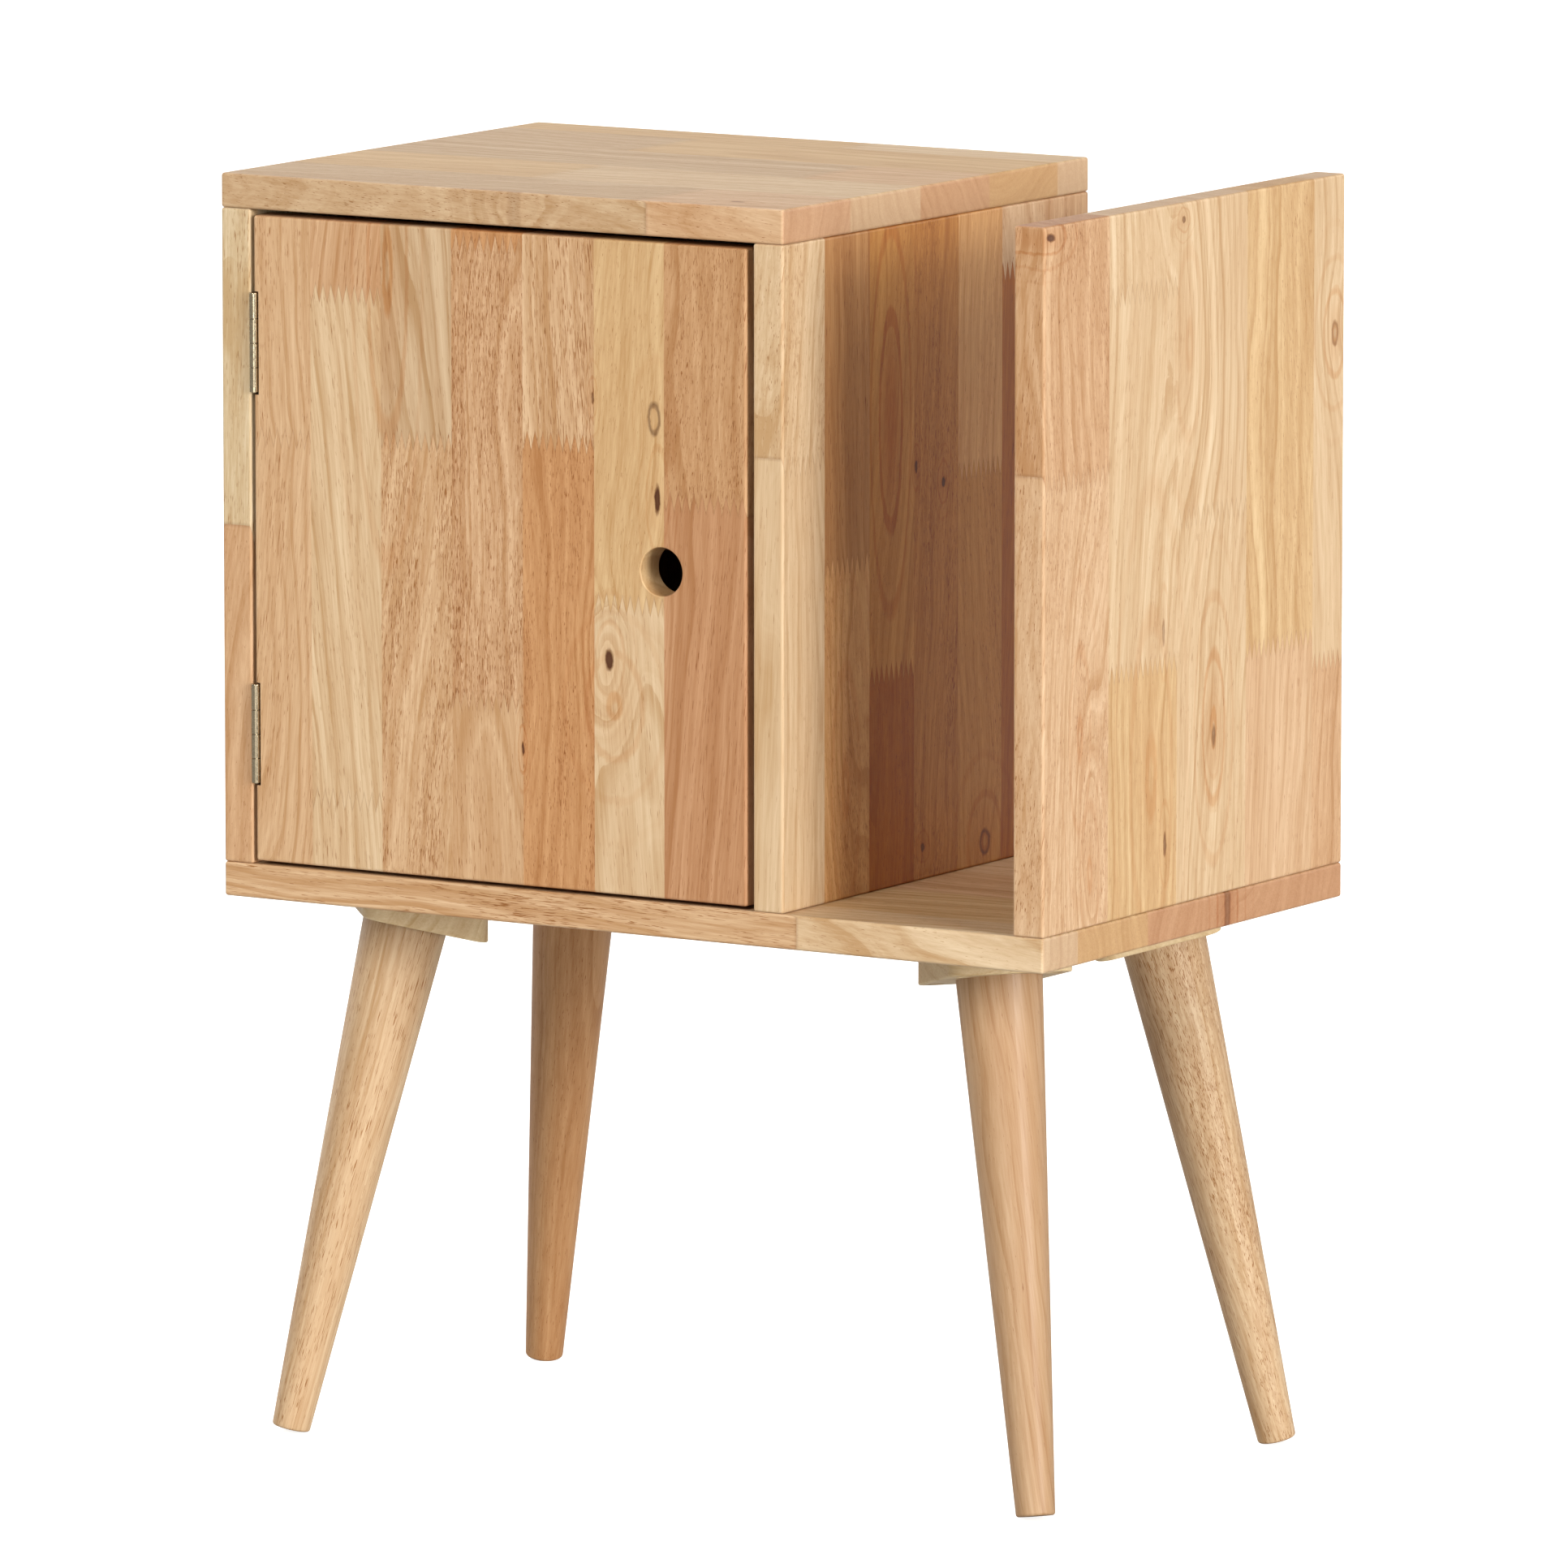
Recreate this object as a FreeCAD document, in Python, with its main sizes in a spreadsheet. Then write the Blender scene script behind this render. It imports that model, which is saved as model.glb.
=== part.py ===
# Storage side table: a solid rubberwood cabinet with an inset door, an open magazine slot beside it,
# and four tapered legs that splay out from wedge blocks under the base.
# Lengths are in millimetres. X runs to the right, Y to the back and Z up from the floor. The origin is
# on the floor, in the middle of the whole table, the hinge barrels at its front included.
import FreeCAD
import Part
import math
import os
import re
import Sketcher

Vector = FreeCAD.Vector

# The driving sizes, in the groups of the pieces that carry them
SIZES = {
    # Boards, one stock thickness, all with softened edges
    "board_thickness": 18,
    "edge_round": 1.5,
    "depth": 303,
    "cabinet_width": 342,
    "side_height": 342,
    "slot_width": 136,
    # Plywood back, held in grooves
    "back_thickness": 5,
    "back_inset": 8,
    "groove_depth": 6,
    "groove_play": 0.2,
    "groove_end_play": 0.5,
    # Inset door
    "hinge_gap": 2,
    "latch_gap": 4,
    "top_gap": 3,
    "bottom_gap": 2,
    "finger_hole_diameter": 25,
    "finger_hole_inset": 51,
    "finger_hole_round": 0.8,
    # Butt hinges
    "hinge_length": 50.8,
    "hinge_inset": 41,
    "barrel_diameter": 4.5,
    "barrel_proud": 0.3,
    "barrel_relief": 0.5,
    "leaf_thickness": 1,
    "leaf_width": 14,
    "knuckle_gap": 0.4,
    "knuckle_swing_play": 0.4,
    "mortise_end_play": 1.5,
    "mortise_back_play": 0.4,
    "pin_diameter": 2.3,
    "pin_play": 0.05,
    "pin_head_height": 1,
    "pin_head_round": 0.7,
    "pin_tail": 0.4,
    "hinge_hole_spacing": 30,
    "hinge_hole_reach": 8.5,
    # Countersunk screws of the hinges and the strike plate
    "small_screw_length": 13,
    "small_screw_diameter": 3,
    "small_screw_head": 5.2,
    "small_screw_tip": 2.5,
    # Wedge blocks under the base
    "leg_side_inset": 70.2,
    "leg_end_inset": 71.8,
    "leg_splay": 13,
    "leg_heading": 41,
    "block_length": 66,
    "block_width": 66,
    "block_outer_reach": 30,
    "block_thin_edge": 10.5,
    "block_corner_round": 9,
    "block_edge_round": 1,
    "block_screw_inset": 9,
    "block_screw_seat": 7,
    "block_screw_length": 20,
    "block_screw_diameter": 3.5,
    "block_screw_head": 8,
    "block_screw_head_height": 2.4,
    "block_screw_tip": 3,
    # Turned legs with a hanger bolt and an insert each
    "leg_length": 275,
    "leg_top_diameter": 44.6,
    "leg_foot_diameter": 20,
    "leg_foot_round": 1.5,
    "hanger_diameter": 8,
    "hanger_lag_diameter": 7,
    "hanger_lag_length": 34,
    "hanger_thread_length": 11,
    "hanger_tip": 4,
    "insert_diameter": 12,
    "insert_length": 12,
    # Cam fittings and dowels between the top and the sides
    "fitting_inset": 50,
    "dowel_inset": 92,
    "cam_drop": 24,
    "cam_diameter": 15,
    "cam_depth": 12.5,
    "cam_bore_diameter": 7.8,
    "cam_slot_width": 1.6,
    "cam_slot_length": 9,
    "cam_slot_depth": 2,
    "cam_bolt_diameter": 6.5,
    "cam_bolt_neck_diameter": 4,
    "cam_bolt_neck_length": 6,
    "cam_bolt_head_diameter": 7,
    "cam_bolt_head_height": 3,
    "cam_bolt_thread_length": 11,
    "dowel_diameter": 8,
    "dowel_length": 30,
    "dowel_base_depth": 12,
    "dowel_chamfer": 1,
    # Connector screws up through the base
    "connector_length": 50,
    "connector_diameter": 7,
    "connector_shoulder": 17,
    "connector_thread_diameter": 6.2,
    "connector_head": 10,
    "connector_head_height": 3,
    "connector_tip": 4,
    # Magnetic catch under the top and its strike plate
    "catch_inset": 36,
    "catch_width": 32,
    "catch_depth": 13,
    "catch_height": 14,
    "catch_core_width": 19,
    "catch_ear_thickness": 3,
    "catch_round": 1,
    "magnet_width": 14,
    "magnet_depth": 9,
    "magnet_height": 4,
    "pole_thickness": 1.2,
    "pole_depth": 10.5,
    "pole_proud": 0.8,
    "pole_drop": 8.5,
    "catch_pocket_play": 0.1,
    "strike_gap": 0.3,
    "strike_width": 18,
    "strike_height": 10,
    "strike_thickness": 1.2,
    "catch_screw_length": 13,
    "catch_screw_diameter": 3,
    "catch_screw_head": 5.5,
    "catch_screw_head_height": 1.8,
    "catch_screw_tip": 2,
    # Clearances shared by all the fasteners, and the overrun of every cut
    "fastener_play": 0.1,
    "bore_end_play": 0.5,
    "overrun": 2,
}

# Sizes that follow from the driving ones
OPENING_WIDTH = "(cabinet_width - 2 * board_thickness)"
BASE_WIDTH = "(cabinet_width + slot_width + board_thickness)"
DOOR_WIDTH = f"({OPENING_WIDTH} - hinge_gap - latch_gap)"
DOOR_HEIGHT = "(side_height - top_gap - bottom_gap)"
BARREL_RADIUS = "(barrel_diameter / 2)"
BLOCK_AT_AXIS = "(block_thin_edge + block_outer_reach * tan(leg_splay))"
BLOCK_THICK_EDGE = "(block_thin_edge + block_length * tan(leg_splay))"
LEG_SEAT = f"({BLOCK_AT_AXIS} * cos(leg_splay))"
LEG_TAPER = "atan((leg_top_diameter - leg_foot_diameter) / 2 / leg_length)"
FOOT_ROUND_RADIUS = (f"(leg_foot_diameter / 2 + leg_foot_round * tan({LEG_TAPER})"
                     f" - leg_foot_round / cos({LEG_TAPER}))")
FOOT_DROP = f"({FOOT_ROUND_RADIUS} * sin(leg_splay) + leg_foot_round * (1 - cos(leg_splay)))"

# Planes of the whole table
LEFT = f"(-{BASE_WIDTH} / 2)"
FRONT = f"((barrel_proud + {BARREL_RADIUS} - depth) / 2)"
UNDERSIDE = f"(({LEG_SEAT} + leg_length) * cos(leg_splay) + {FOOT_DROP})"
FLOOR_OF_CABINET = f"({UNDERSIDE} + board_thickness)"
TOP_OF_SIDES = f"({FLOOR_OF_CABINET} + side_height)"
DIVIDER_LEFT = f"({LEFT} + cabinet_width - board_thickness)"
OUTER_LEFT = f"({LEFT} + cabinet_width + slot_width)"
HALF_BOARD = "board_thickness / 2"

# Barrel axes of the hinges
BARREL_X = f"({LEFT} + board_thickness + {BARREL_RADIUS})"
BARREL_Y = f"({FRONT} - barrel_proud)"
HINGE_HEIGHTS = {
    "lower": f"({FLOOR_OF_CABINET} + bottom_gap + hinge_inset)",
    "upper": f"({TOP_OF_SIDES} - top_gap - hinge_inset - hinge_length)",
}
HINGE_HOLES = ("(hinge_length / 2 - hinge_hole_spacing / 2)", "(hinge_length / 2 + hinge_hole_spacing / 2)")

# Fixing places along the depth of the boards
FITTING_PLACES = ("fitting_inset", "(depth - fitting_inset)")
OUTER_FITTING_PLACES = ("fitting_inset", "(depth / 2)", "(depth - fitting_inset)")
DOWEL_PLACES = ("dowel_inset", "(depth - dowel_inset)")
BACK_FRONT_FACE = "(depth - back_inset - back_thickness)"

KNUCKLES = 4

# Corners of the base: name, side of the middle in X and Y, and the plan angle that the leg points to
CORNERS = (
    ("front_left", "-1", "-1", "(180 + leg_heading)"),
    ("front_right", "1", "-1", "(-leg_heading)"),
    ("back_left", "-1", "1", "(180 - leg_heading)"),
    ("back_right", "1", "1", "leg_heading"),
)

# Screw places on a wedge block, outward and across from the leg's axis
BLOCK_SCREWS = [
    (along, across)
    for along in ("(block_outer_reach - block_screw_inset)",
                  "(block_outer_reach - block_length + block_screw_inset)")
    for across in ("(block_screw_inset - block_width / 2)", "(block_width / 2 - block_screw_inset)")
]

# The catch, on the cabinet's centre line of its own
CATCH_X = f"({DIVIDER_LEFT} - catch_inset)"
CATCH_Y = f"({FRONT} + board_thickness + strike_thickness + strike_gap + pole_proud)"
EAR_HOLE = "((catch_core_width + catch_width) / 4)"
EAR_HOLES = (f"(-{EAR_HOLE})", EAR_HOLE)
POLE_SPAN = "(magnet_height / 2 + pole_thickness)"

# Edges are told apart by lengths that agree this closely
TOLERANCE = 1e-4

doc = FreeCAD.newDocument("storage_side_table")
sheet = doc.addObject("Spreadsheet::Sheet", "Sizes")
nodes = []


def fill_sheet():
    """One row for each driving size: its name, and its value under an alias of that name."""
    for row, (name, size) in enumerate(SIZES.items(), 1):
        sheet.set(f"A{row}", name)
        sheet.set(f"B{row}", str(size))
        sheet.setAlias(f"B{row}", name)
    doc.recompute()


def bound(formula):
    """A formula of size names, as an expression that reads them from the sheet."""
    return re.sub(r"[a-z][a-z_]*", lambda word: f"Sizes.{word[0]}" if word[0] in SIZES else word[0], formula)


def set_size(piece, attribute, formula):
    """Binds one attribute of a piece or feature to the sheet."""
    piece.setExpression(attribute, bound(formula))


def number(formula):
    """The value that a formula has now."""
    return float(sheet.evalExpression(bound(formula)))


def place(piece, spot, turn=("0", "0", "0")):
    """Places a piece at a spot, turned by yaw, pitch and roll."""
    set_size(piece, "Placement", f"placement(vector({'; '.join(spot)}); rotation({'; '.join(turn)}))")


def new_node(piece, name):
    """Names a finished sub-part and keeps it for writing."""
    piece.Label = name
    nodes.append(piece)
    return piece


def new_body(name, spot=("0", "0", "0"), turn=("0", "0", "0"), is_node=True):
    """An empty body at its place."""
    body = doc.addObject("PartDesign::Body", f"{name}_body")
    place(body, spot, turn)
    return new_node(body, name) if is_node else body


def sketch_on(body, plane_role, offset="0"):
    """A sketch on one of the body's own planes, moved along that plane's normal."""
    sketch = body.newObject("Sketcher::SketchObject", "Profile")
    plane = next(feature for feature in body.Origin.OriginFeatures if feature.Role == plane_role)
    sketch.AttachmentSupport = [(plane, "")]
    sketch.MapMode = "FlatFace"
    if offset != "0":
        set_size(sketch, "AttachmentOffset.Base.z", offset)
    return sketch


def tie_point(sketch, edge, vertex, spot):
    """Ties a point of the sketch to its two formulas, or to an axis where a formula is zero."""
    for kind, axis, formula in (("DistanceX", -2, spot[0]), ("DistanceY", -1, spot[1])):
        if formula == "0":
            sketch.addConstraint(Sketcher.Constraint("PointOnObject", edge, vertex, axis))
            continue
        index = sketch.addConstraint(Sketcher.Constraint(kind, -1, 1, edge, vertex, number(formula)))
        name = f"{kind}_{edge}_{vertex}"
        sketch.renameConstraint(index, name)
        set_size(sketch, f"Constraints.{name}", formula)


def add_outline(sketch, spots):
    """A closed outline of straight edges through the spots."""
    first = sketch.GeometryCount
    corners = [Vector(number(x), number(y), 0) for x, y in spots]
    count = len(corners)
    for index in range(count):
        sketch.addGeometry(Part.LineSegment(corners[index], corners[(index + 1) % count]))
    for index, spot in enumerate(spots):
        edge = first + index
        sketch.addConstraint(Sketcher.Constraint("Coincident", edge, 2, first + (index + 1) % count, 1))
        tie_point(sketch, edge, 1, spot)


def add_rectangle(sketch, low, high):
    """A rectangle from its low corner to its high one."""
    add_outline(sketch, [(low[0], low[1]), (high[0], low[1]), (high[0], high[1]), (low[0], high[1])])


def add_circle(sketch, spot, radius):
    """A circle about a spot."""
    centre = Vector(number(spot[0]), number(spot[1]), 0)
    edge = sketch.addGeometry(Part.Circle(centre, Vector(0, 0, 1), number(radius)))
    tie_point(sketch, edge, 3, spot)
    index = sketch.addConstraint(Sketcher.Constraint("Radius", edge, number(radius)))
    name = f"Radius_{edge}"
    sketch.renameConstraint(index, name)
    set_size(sketch, f"Constraints.{name}", radius)


def pad(body, sketch, length, midplane=False):
    """Adds the sketch's outline as a solid along its normal."""
    feature = body.newObject("PartDesign::Pad", "Pad")
    feature.Profile = sketch
    set_size(feature, "Length", length)
    if midplane:
        feature.SideType = "Symmetric"
    doc.recompute()
    return feature


def cut(body, sketch, length, along_normal=False, taper=0):
    """Cuts the sketch's outline into the body, against its normal unless along_normal is set."""
    before = body.Shape.Volume
    feature = body.newObject("PartDesign::Pocket", "Cut")
    feature.Profile = sketch
    feature.Reversed = along_normal
    feature.TaperAngle = taper
    set_size(feature, "Length", length)
    doc.recompute()
    if not body.Shape.Volume < before:
        raise RuntimeError(f"a cut in {body.Label} removes nothing")
    return feature


def turn_profile(body, spots):
    """Turns a half profile of (radius, height) spots about the body's own Z axis."""
    sketch = sketch_on(body, "XZ_Plane")
    add_outline(sketch, spots)
    feature = body.newObject("PartDesign::Revolution", "Turning")
    feature.Profile = sketch
    feature.ReferenceAxis = (sketch, ["V_Axis"])
    doc.recompute()
    return feature


def round_edges(body, radius, wanted=None):
    """Rounds the edges that the test picks, or every edge."""
    last = body.Tip
    feature = body.newObject("PartDesign::Fillet", "Rounding")
    if wanted is None:
        feature.Base = (last, [""])
        feature.UseAllEdges = True
    else:
        feature.Base = (last, [f"Edge{i}" for i, edge in enumerate(last.Shape.Edges, 1) if wanted(edge)])
    set_size(feature, "Radius", radius)
    doc.recompute()
    return feature


def drill(body, plane_role, spots, diameter, length, offset="0", along_normal=False, taper=0):
    """Round holes of one kind at several spots of one plane."""
    sketch = sketch_on(body, plane_role, offset)
    for spot in spots:
        add_circle(sketch, spot, f"({diameter}) / 2")
    return cut(body, sketch, length, along_normal, taper)


def board(name, size, corner):
    """A flat board from its low corner, with every edge softened."""
    body = new_body(name, corner)
    sketch = sketch_on(body, "XY_Plane")
    add_rectangle(sketch, ("0", "0"), (size[0], size[1]))
    pad(body, sketch, size[2])
    round_edges(body, "edge_round")
    return body


def group(name, pieces):
    """Identical pieces that share one node, each a solid of its own."""
    compound = doc.addObject("Part::Compound", f"{name}_group")
    compound.Links = pieces
    return new_node(compound, name)


def copies(master, spots, turn=("0", "0", "0")):
    """Copies of a master piece at several spots, all turned alike."""
    links = []
    for spot in spots:
        link = doc.addObject("App::Link", f"{master.Name}_copy")
        link.LinkedObject = master
        place(link, spot, turn)
        links.append(link)
    return links


def along_x(length, spots):
    """Spots across a board's thickness and depth, for holes in its top or bottom edge."""
    return [(length, spot) for spot in spots]


# Boards of the carcass
def top_panel():
    """The cabinet's top, held by cam bolts and dowels in its underside."""
    body = board("top_panel", ("cabinet_width", "depth", "board_thickness"), (LEFT, FRONT, TOP_OF_SIDES))
    lines = (HALF_BOARD, f"cabinet_width - {HALF_BOARD}")
    bolts = [(x, y) for x in lines for y in FITTING_PLACES]
    dowels = [(x, y) for x in lines for y in DOWEL_PLACES]
    drill(body, "XY_Plane", bolts, "cam_bolt_diameter + 2 * fastener_play",
          "cam_bolt_thread_length + bore_end_play", along_normal=True)
    drill(body, "XY_Plane", dowels, "dowel_diameter + 2 * fastener_play",
          "dowel_base_depth + bore_end_play", along_normal=True)
    back_groove(body, "0", True)
    catch_holes = [(f"{CATCH_X} - {LEFT} + {x}", f"{CATCH_Y} - {FRONT} + catch_depth / 2") for x in EAR_HOLES]
    drill(body, "XY_Plane", catch_holes, "catch_screw_diameter + 2 * fastener_play",
          "catch_screw_length - catch_ear_thickness + bore_end_play", along_normal=True)


def base_panel():
    """The long base: it carries the cabinet, the slot's outer panel and the four leg blocks."""
    body = board("base_panel", (BASE_WIDTH, "depth", "board_thickness"), (LEFT, FRONT, UNDERSIDE))
    cabinet_lines = (HALF_BOARD, f"cabinet_width - {HALF_BOARD}")
    outer_line = f"{BASE_WIDTH} - {HALF_BOARD}"
    connectors = [(x, y) for x in cabinet_lines for y in FITTING_PLACES]
    connectors += [(outer_line, y) for y in OUTER_FITTING_PLACES]
    dowels = [(x, y) for x in cabinet_lines + (outer_line,) for y in DOWEL_PLACES]
    drill(body, "XY_Plane", dowels, "dowel_diameter + 2 * fastener_play",
          "dowel_base_depth + bore_end_play", "board_thickness")
    drill(body, "XY_Plane", connectors, "connector_diameter + 2 * fastener_play",
          "board_thickness", along_normal=True)
    drill(body, "XY_Plane", connectors, "connector_head + 2 * fastener_play",
          "connector_head_height", along_normal=True)
    back_groove(body, "board_thickness", False)
    screws = [block_spot(corner, spot) for corner in CORNERS for spot in BLOCK_SCREWS]
    drill(body, "XY_Plane", screws, "block_screw_diameter + 2 * fastener_play",
          "block_screw_length - block_screw_seat + bore_end_play", along_normal=True)


def leg_axis(side_x, side_y):
    """Where a leg's axis meets the underside, from the base's low corner."""
    return (f"({BASE_WIDTH} / 2 + {side_x} * ({BASE_WIDTH} / 2 - leg_side_inset))",
            f"(depth / 2 + {side_y} * (depth / 2 - leg_end_inset))")


def block_spot(corner, spot):
    """A wedge block's own spot, from the base's low corner."""
    name, side_x, side_y, heading = corner
    axis_x, axis_y = leg_axis(side_x, side_y)
    along, across = spot
    return (f"{axis_x} + {along} * cos({heading}) - {across} * sin({heading})",
            f"{axis_y} + {along} * sin({heading}) + {across} * cos({heading})")


def back_groove(body, height, along_normal):
    """The stopped groove of a horizontal board for the edge of the back panel."""
    sketch = sketch_on(body, "XY_Plane", height)
    add_rectangle(sketch, ("board_thickness - groove_depth", f"{BACK_FRONT_FACE} - groove_play"),
                  ("cabinet_width - board_thickness + groove_depth", "depth - back_inset + groove_play"))
    cut(body, sketch, "groove_depth", along_normal)


def side_panel(name, left, inner_face, outward):
    """A cabinet side: dowels and connector screws below, cams and dowels above, the back's groove inside."""
    body = board(name, ("board_thickness", "depth", "side_height"), (left, FRONT, FLOOR_OF_CABINET))
    edge_joints(body, FITTING_PLACES)
    sketch = sketch_on(body, "YZ_Plane", inner_face)
    add_rectangle(sketch, (f"{BACK_FRONT_FACE} - groove_play", "0"),
                  ("depth - back_inset + groove_play", "side_height"))
    cut(body, sketch, "groove_depth", outward)
    cams = [(y, "side_height - cam_drop") for y in FITTING_PLACES]
    drill(body, "YZ_Plane", cams, "cam_diameter + 2 * fastener_play",
          "cam_depth + fastener_play", inner_face, outward)
    drill(body, "XY_Plane", along_x(HALF_BOARD, FITTING_PLACES), "cam_bore_diameter", "cam_drop", "side_height")
    drill(body, "XY_Plane", along_x(HALF_BOARD, DOWEL_PLACES), "dowel_diameter + 2 * fastener_play",
          "dowel_length - dowel_base_depth + bore_end_play", "side_height")
    return body


def edge_joints(body, fitting_places):
    """Holes in an upright board's bottom edge for the connector screws and dowels of the base."""
    drill(body, "XY_Plane", along_x(HALF_BOARD, fitting_places), "connector_thread_diameter + 2 * fastener_play",
          "connector_length - board_thickness + bore_end_play", along_normal=True)
    drill(body, "XY_Plane", along_x(HALF_BOARD, DOWEL_PLACES), "dowel_diameter + 2 * fastener_play",
          "dowel_length - dowel_base_depth + bore_end_play", along_normal=True)


def left_side_panel():
    """The hinge side, with pilot holes for the hinge screws."""
    body = side_panel("left_side_panel", LEFT, "board_thickness", False)
    pilots = [("hinge_hole_reach - barrel_proud", f"{height} - {FLOOR_OF_CABINET} + {hole}")
              for height in HINGE_HEIGHTS.values() for hole in HINGE_HOLES]
    drill(body, "YZ_Plane", pilots, "small_screw_diameter + 2 * fastener_play",
          "small_screw_length - leaf_thickness + bore_end_play", "board_thickness")


def outer_panel():
    """The magazine slot's outer panel, level with the cabinet's top and held at its bottom edge only."""
    body = board("outer_panel", ("board_thickness", "depth", "side_height + board_thickness"),
                 (OUTER_LEFT, FRONT, FLOOR_OF_CABINET))
    edge_joints(body, OUTER_FITTING_PLACES)


def back_panel():
    """The plywood back, standing in the base's groove."""
    width = f"{OPENING_WIDTH} + 2 * (groove_depth - groove_end_play)"
    height = "side_height + 2 * groove_depth - groove_end_play"
    body = new_body("back_panel", (f"{LEFT} + board_thickness - groove_depth + groove_end_play",
                                   f"{FRONT} + {BACK_FRONT_FACE}", f"{FLOOR_OF_CABINET} - groove_depth"))
    sketch = sketch_on(body, "XY_Plane")
    add_rectangle(sketch, ("0", "0"), (width, "back_thickness"))
    pad(body, sketch, height)


# Door
def door():
    """The inset door: a finger hole, and mortises in its hinge edge for the door leaves and barrels."""
    corner = (f"{LEFT} + board_thickness + hinge_gap", FRONT, f"{FLOOR_OF_CABINET} + bottom_gap")
    body = board("door", (DOOR_WIDTH, "board_thickness", DOOR_HEIGHT), corner)
    hole = (f"{DOOR_WIDTH} - finger_hole_inset", f"{DOOR_HEIGHT} / 2")
    drill(body, "XZ_Plane", [hole], "finger_hole_diameter", "board_thickness")
    hole_radius = number("finger_hole_diameter / 2")
    round_edges(body, "finger_hole_round", lambda edge: is_ring(edge, hole_radius))
    lows = [f"({height} - {FLOOR_OF_CABINET} - bottom_gap)" for height in HINGE_HEIGHTS.values()]
    mortise(body, lows, "leaf_width - barrel_proud + mortise_back_play", "barrel_diameter - hinge_gap")
    mortise(body, lows, f"{BARREL_RADIUS} - barrel_proud + barrel_relief",
            "barrel_diameter - hinge_gap + barrel_relief")
    pilots = [("hinge_hole_reach - barrel_proud", f"{low} + {hole}") for low in lows for hole in HINGE_HOLES]
    drill(body, "YZ_Plane", pilots, "small_screw_diameter + 2 * fastener_play",
          "small_screw_length - leaf_thickness + bore_end_play", "barrel_diameter - hinge_gap", True)
    strike = (f"{CATCH_X} - ({corner[0]})", f"{DOOR_HEIGHT} + top_gap - pole_drop")
    drill(body, "XZ_Plane", [strike], "small_screw_diameter + 2 * fastener_play",
          "small_screw_length - strike_thickness + bore_end_play", "-board_thickness", True)


def is_ring(edge, radius):
    """Whether an edge is as long as a full circle of this radius."""
    return abs(edge.Length - math.tau * radius) < TOLERANCE


def mortise(body, lows, reach, depth):
    """One step of the two hinge mortises, open at the door's front face and hinge edge."""
    sketch = sketch_on(body, "YZ_Plane")
    for low in lows:
        add_rectangle(sketch, ("-overrun", f"{low} - mortise_end_play"),
                      (reach, f"{low} + hinge_length + mortise_end_play"))
    cut(body, sketch, depth, True)


# Hinges, about the barrel's axis, which rises from the hinge's lower end
def hinge_leaf(name, height, side, cut_knuckles):
    """A stamped leaf with its own two knuckles: side is -1 for the cabinet's leaf and 1 for the door's."""
    body = new_body(name, (BARREL_X, BARREL_Y, height))
    outer, inner = f"{side} * {BARREL_RADIUS}", f"{side} * ({BARREL_RADIUS} - leaf_thickness)"
    plate = sketch_on(body, "XY_Plane")
    add_rectangle(plate, (outer, "0"), (inner, "leaf_width"))
    pad(body, plate, "hinge_length")
    barrel = sketch_on(body, "XY_Plane")
    add_circle(barrel, ("0", "0"), BARREL_RADIUS)
    pad(body, barrel, "hinge_length")
    gaps = sketch_on(body, "XZ_Plane", f"{BARREL_RADIUS} + overrun")
    for knuckle in cut_knuckles:
        low, high = knuckle_span(knuckle)
        add_rectangle(gaps, (f"-{BARREL_RADIUS} - overrun", low), (f"{BARREL_RADIUS} + overrun", high))
    cut(body, gaps, "barrel_diameter + overrun + knuckle_swing_play")
    drill(body, "XY_Plane", [("0", "0")], "pin_diameter + 2 * pin_play", "hinge_length", along_normal=True)
    holes = [("hinge_hole_reach", hole) for hole in HINGE_HOLES]
    drill(body, "YZ_Plane", holes, "small_screw_head + 2 * fastener_play", "leaf_thickness",
          inner, side == "1", -45)


def knuckle_span(knuckle):
    """The stretch of barrel that a leaf leaves to the other leaf's knuckle, its running gaps included."""
    pitch = f"hinge_length / {KNUCKLES}"
    low = "-overrun" if knuckle == 0 else f"{knuckle} * {pitch} - knuckle_gap / 2"
    high = "hinge_length + overrun" if knuckle == KNUCKLES - 1 else f"({knuckle} + 1) * {pitch} + knuckle_gap / 2"
    return low, high


def hinge_pin(name, height):
    """The pin, hung by its domed head on the top knuckle."""
    body = new_body(name, (BARREL_X, BARREL_Y, height))
    turn_profile(body, [
        ("0", "-pin_tail"),
        ("pin_diameter / 2", "-pin_tail"),
        ("pin_diameter / 2", "hinge_length"),
        (BARREL_RADIUS, "hinge_length"),
        (BARREL_RADIUS, "hinge_length + pin_head_height"),
        ("0", "hinge_length + pin_head_height"),
    ])
    head_top = number("hinge_length + pin_head_height")
    round_edges(body, "pin_head_round", lambda edge: edge.BoundBox.ZMin > head_top - TOLERANCE
                and is_ring(edge, number(BARREL_RADIUS)))


def hinges():
    """Both hinges: the cabinet leaf holds the top knuckle and the third, the door leaf the others."""
    cabinet_knuckles, door_knuckles = (1, 3), (0, 2)
    for level, height in HINGE_HEIGHTS.items():
        hinge_leaf(f"{level}_hinge_cabinet_leaf", height, "-1", door_knuckles)
        hinge_leaf(f"{level}_hinge_door_leaf", height, "1", cabinet_knuckles)
        hinge_pin(f"{level}_hinge_pin", height)


# Fasteners, each turned once and then copied to its places
def countersunk_screw(name):
    """A small countersunk wood screw, its head's face at zero and its shank downwards."""
    body = new_body(name, is_node=False)
    shank = "small_screw_diameter / 2"
    turn_profile(body, [
        ("0", "0"),
        ("small_screw_head / 2", "0"),
        (shank, "(small_screw_diameter - small_screw_head) / 2"),
        (shank, "small_screw_tip - small_screw_length"),
        ("0", "-small_screw_length"),
    ])
    return body


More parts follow.
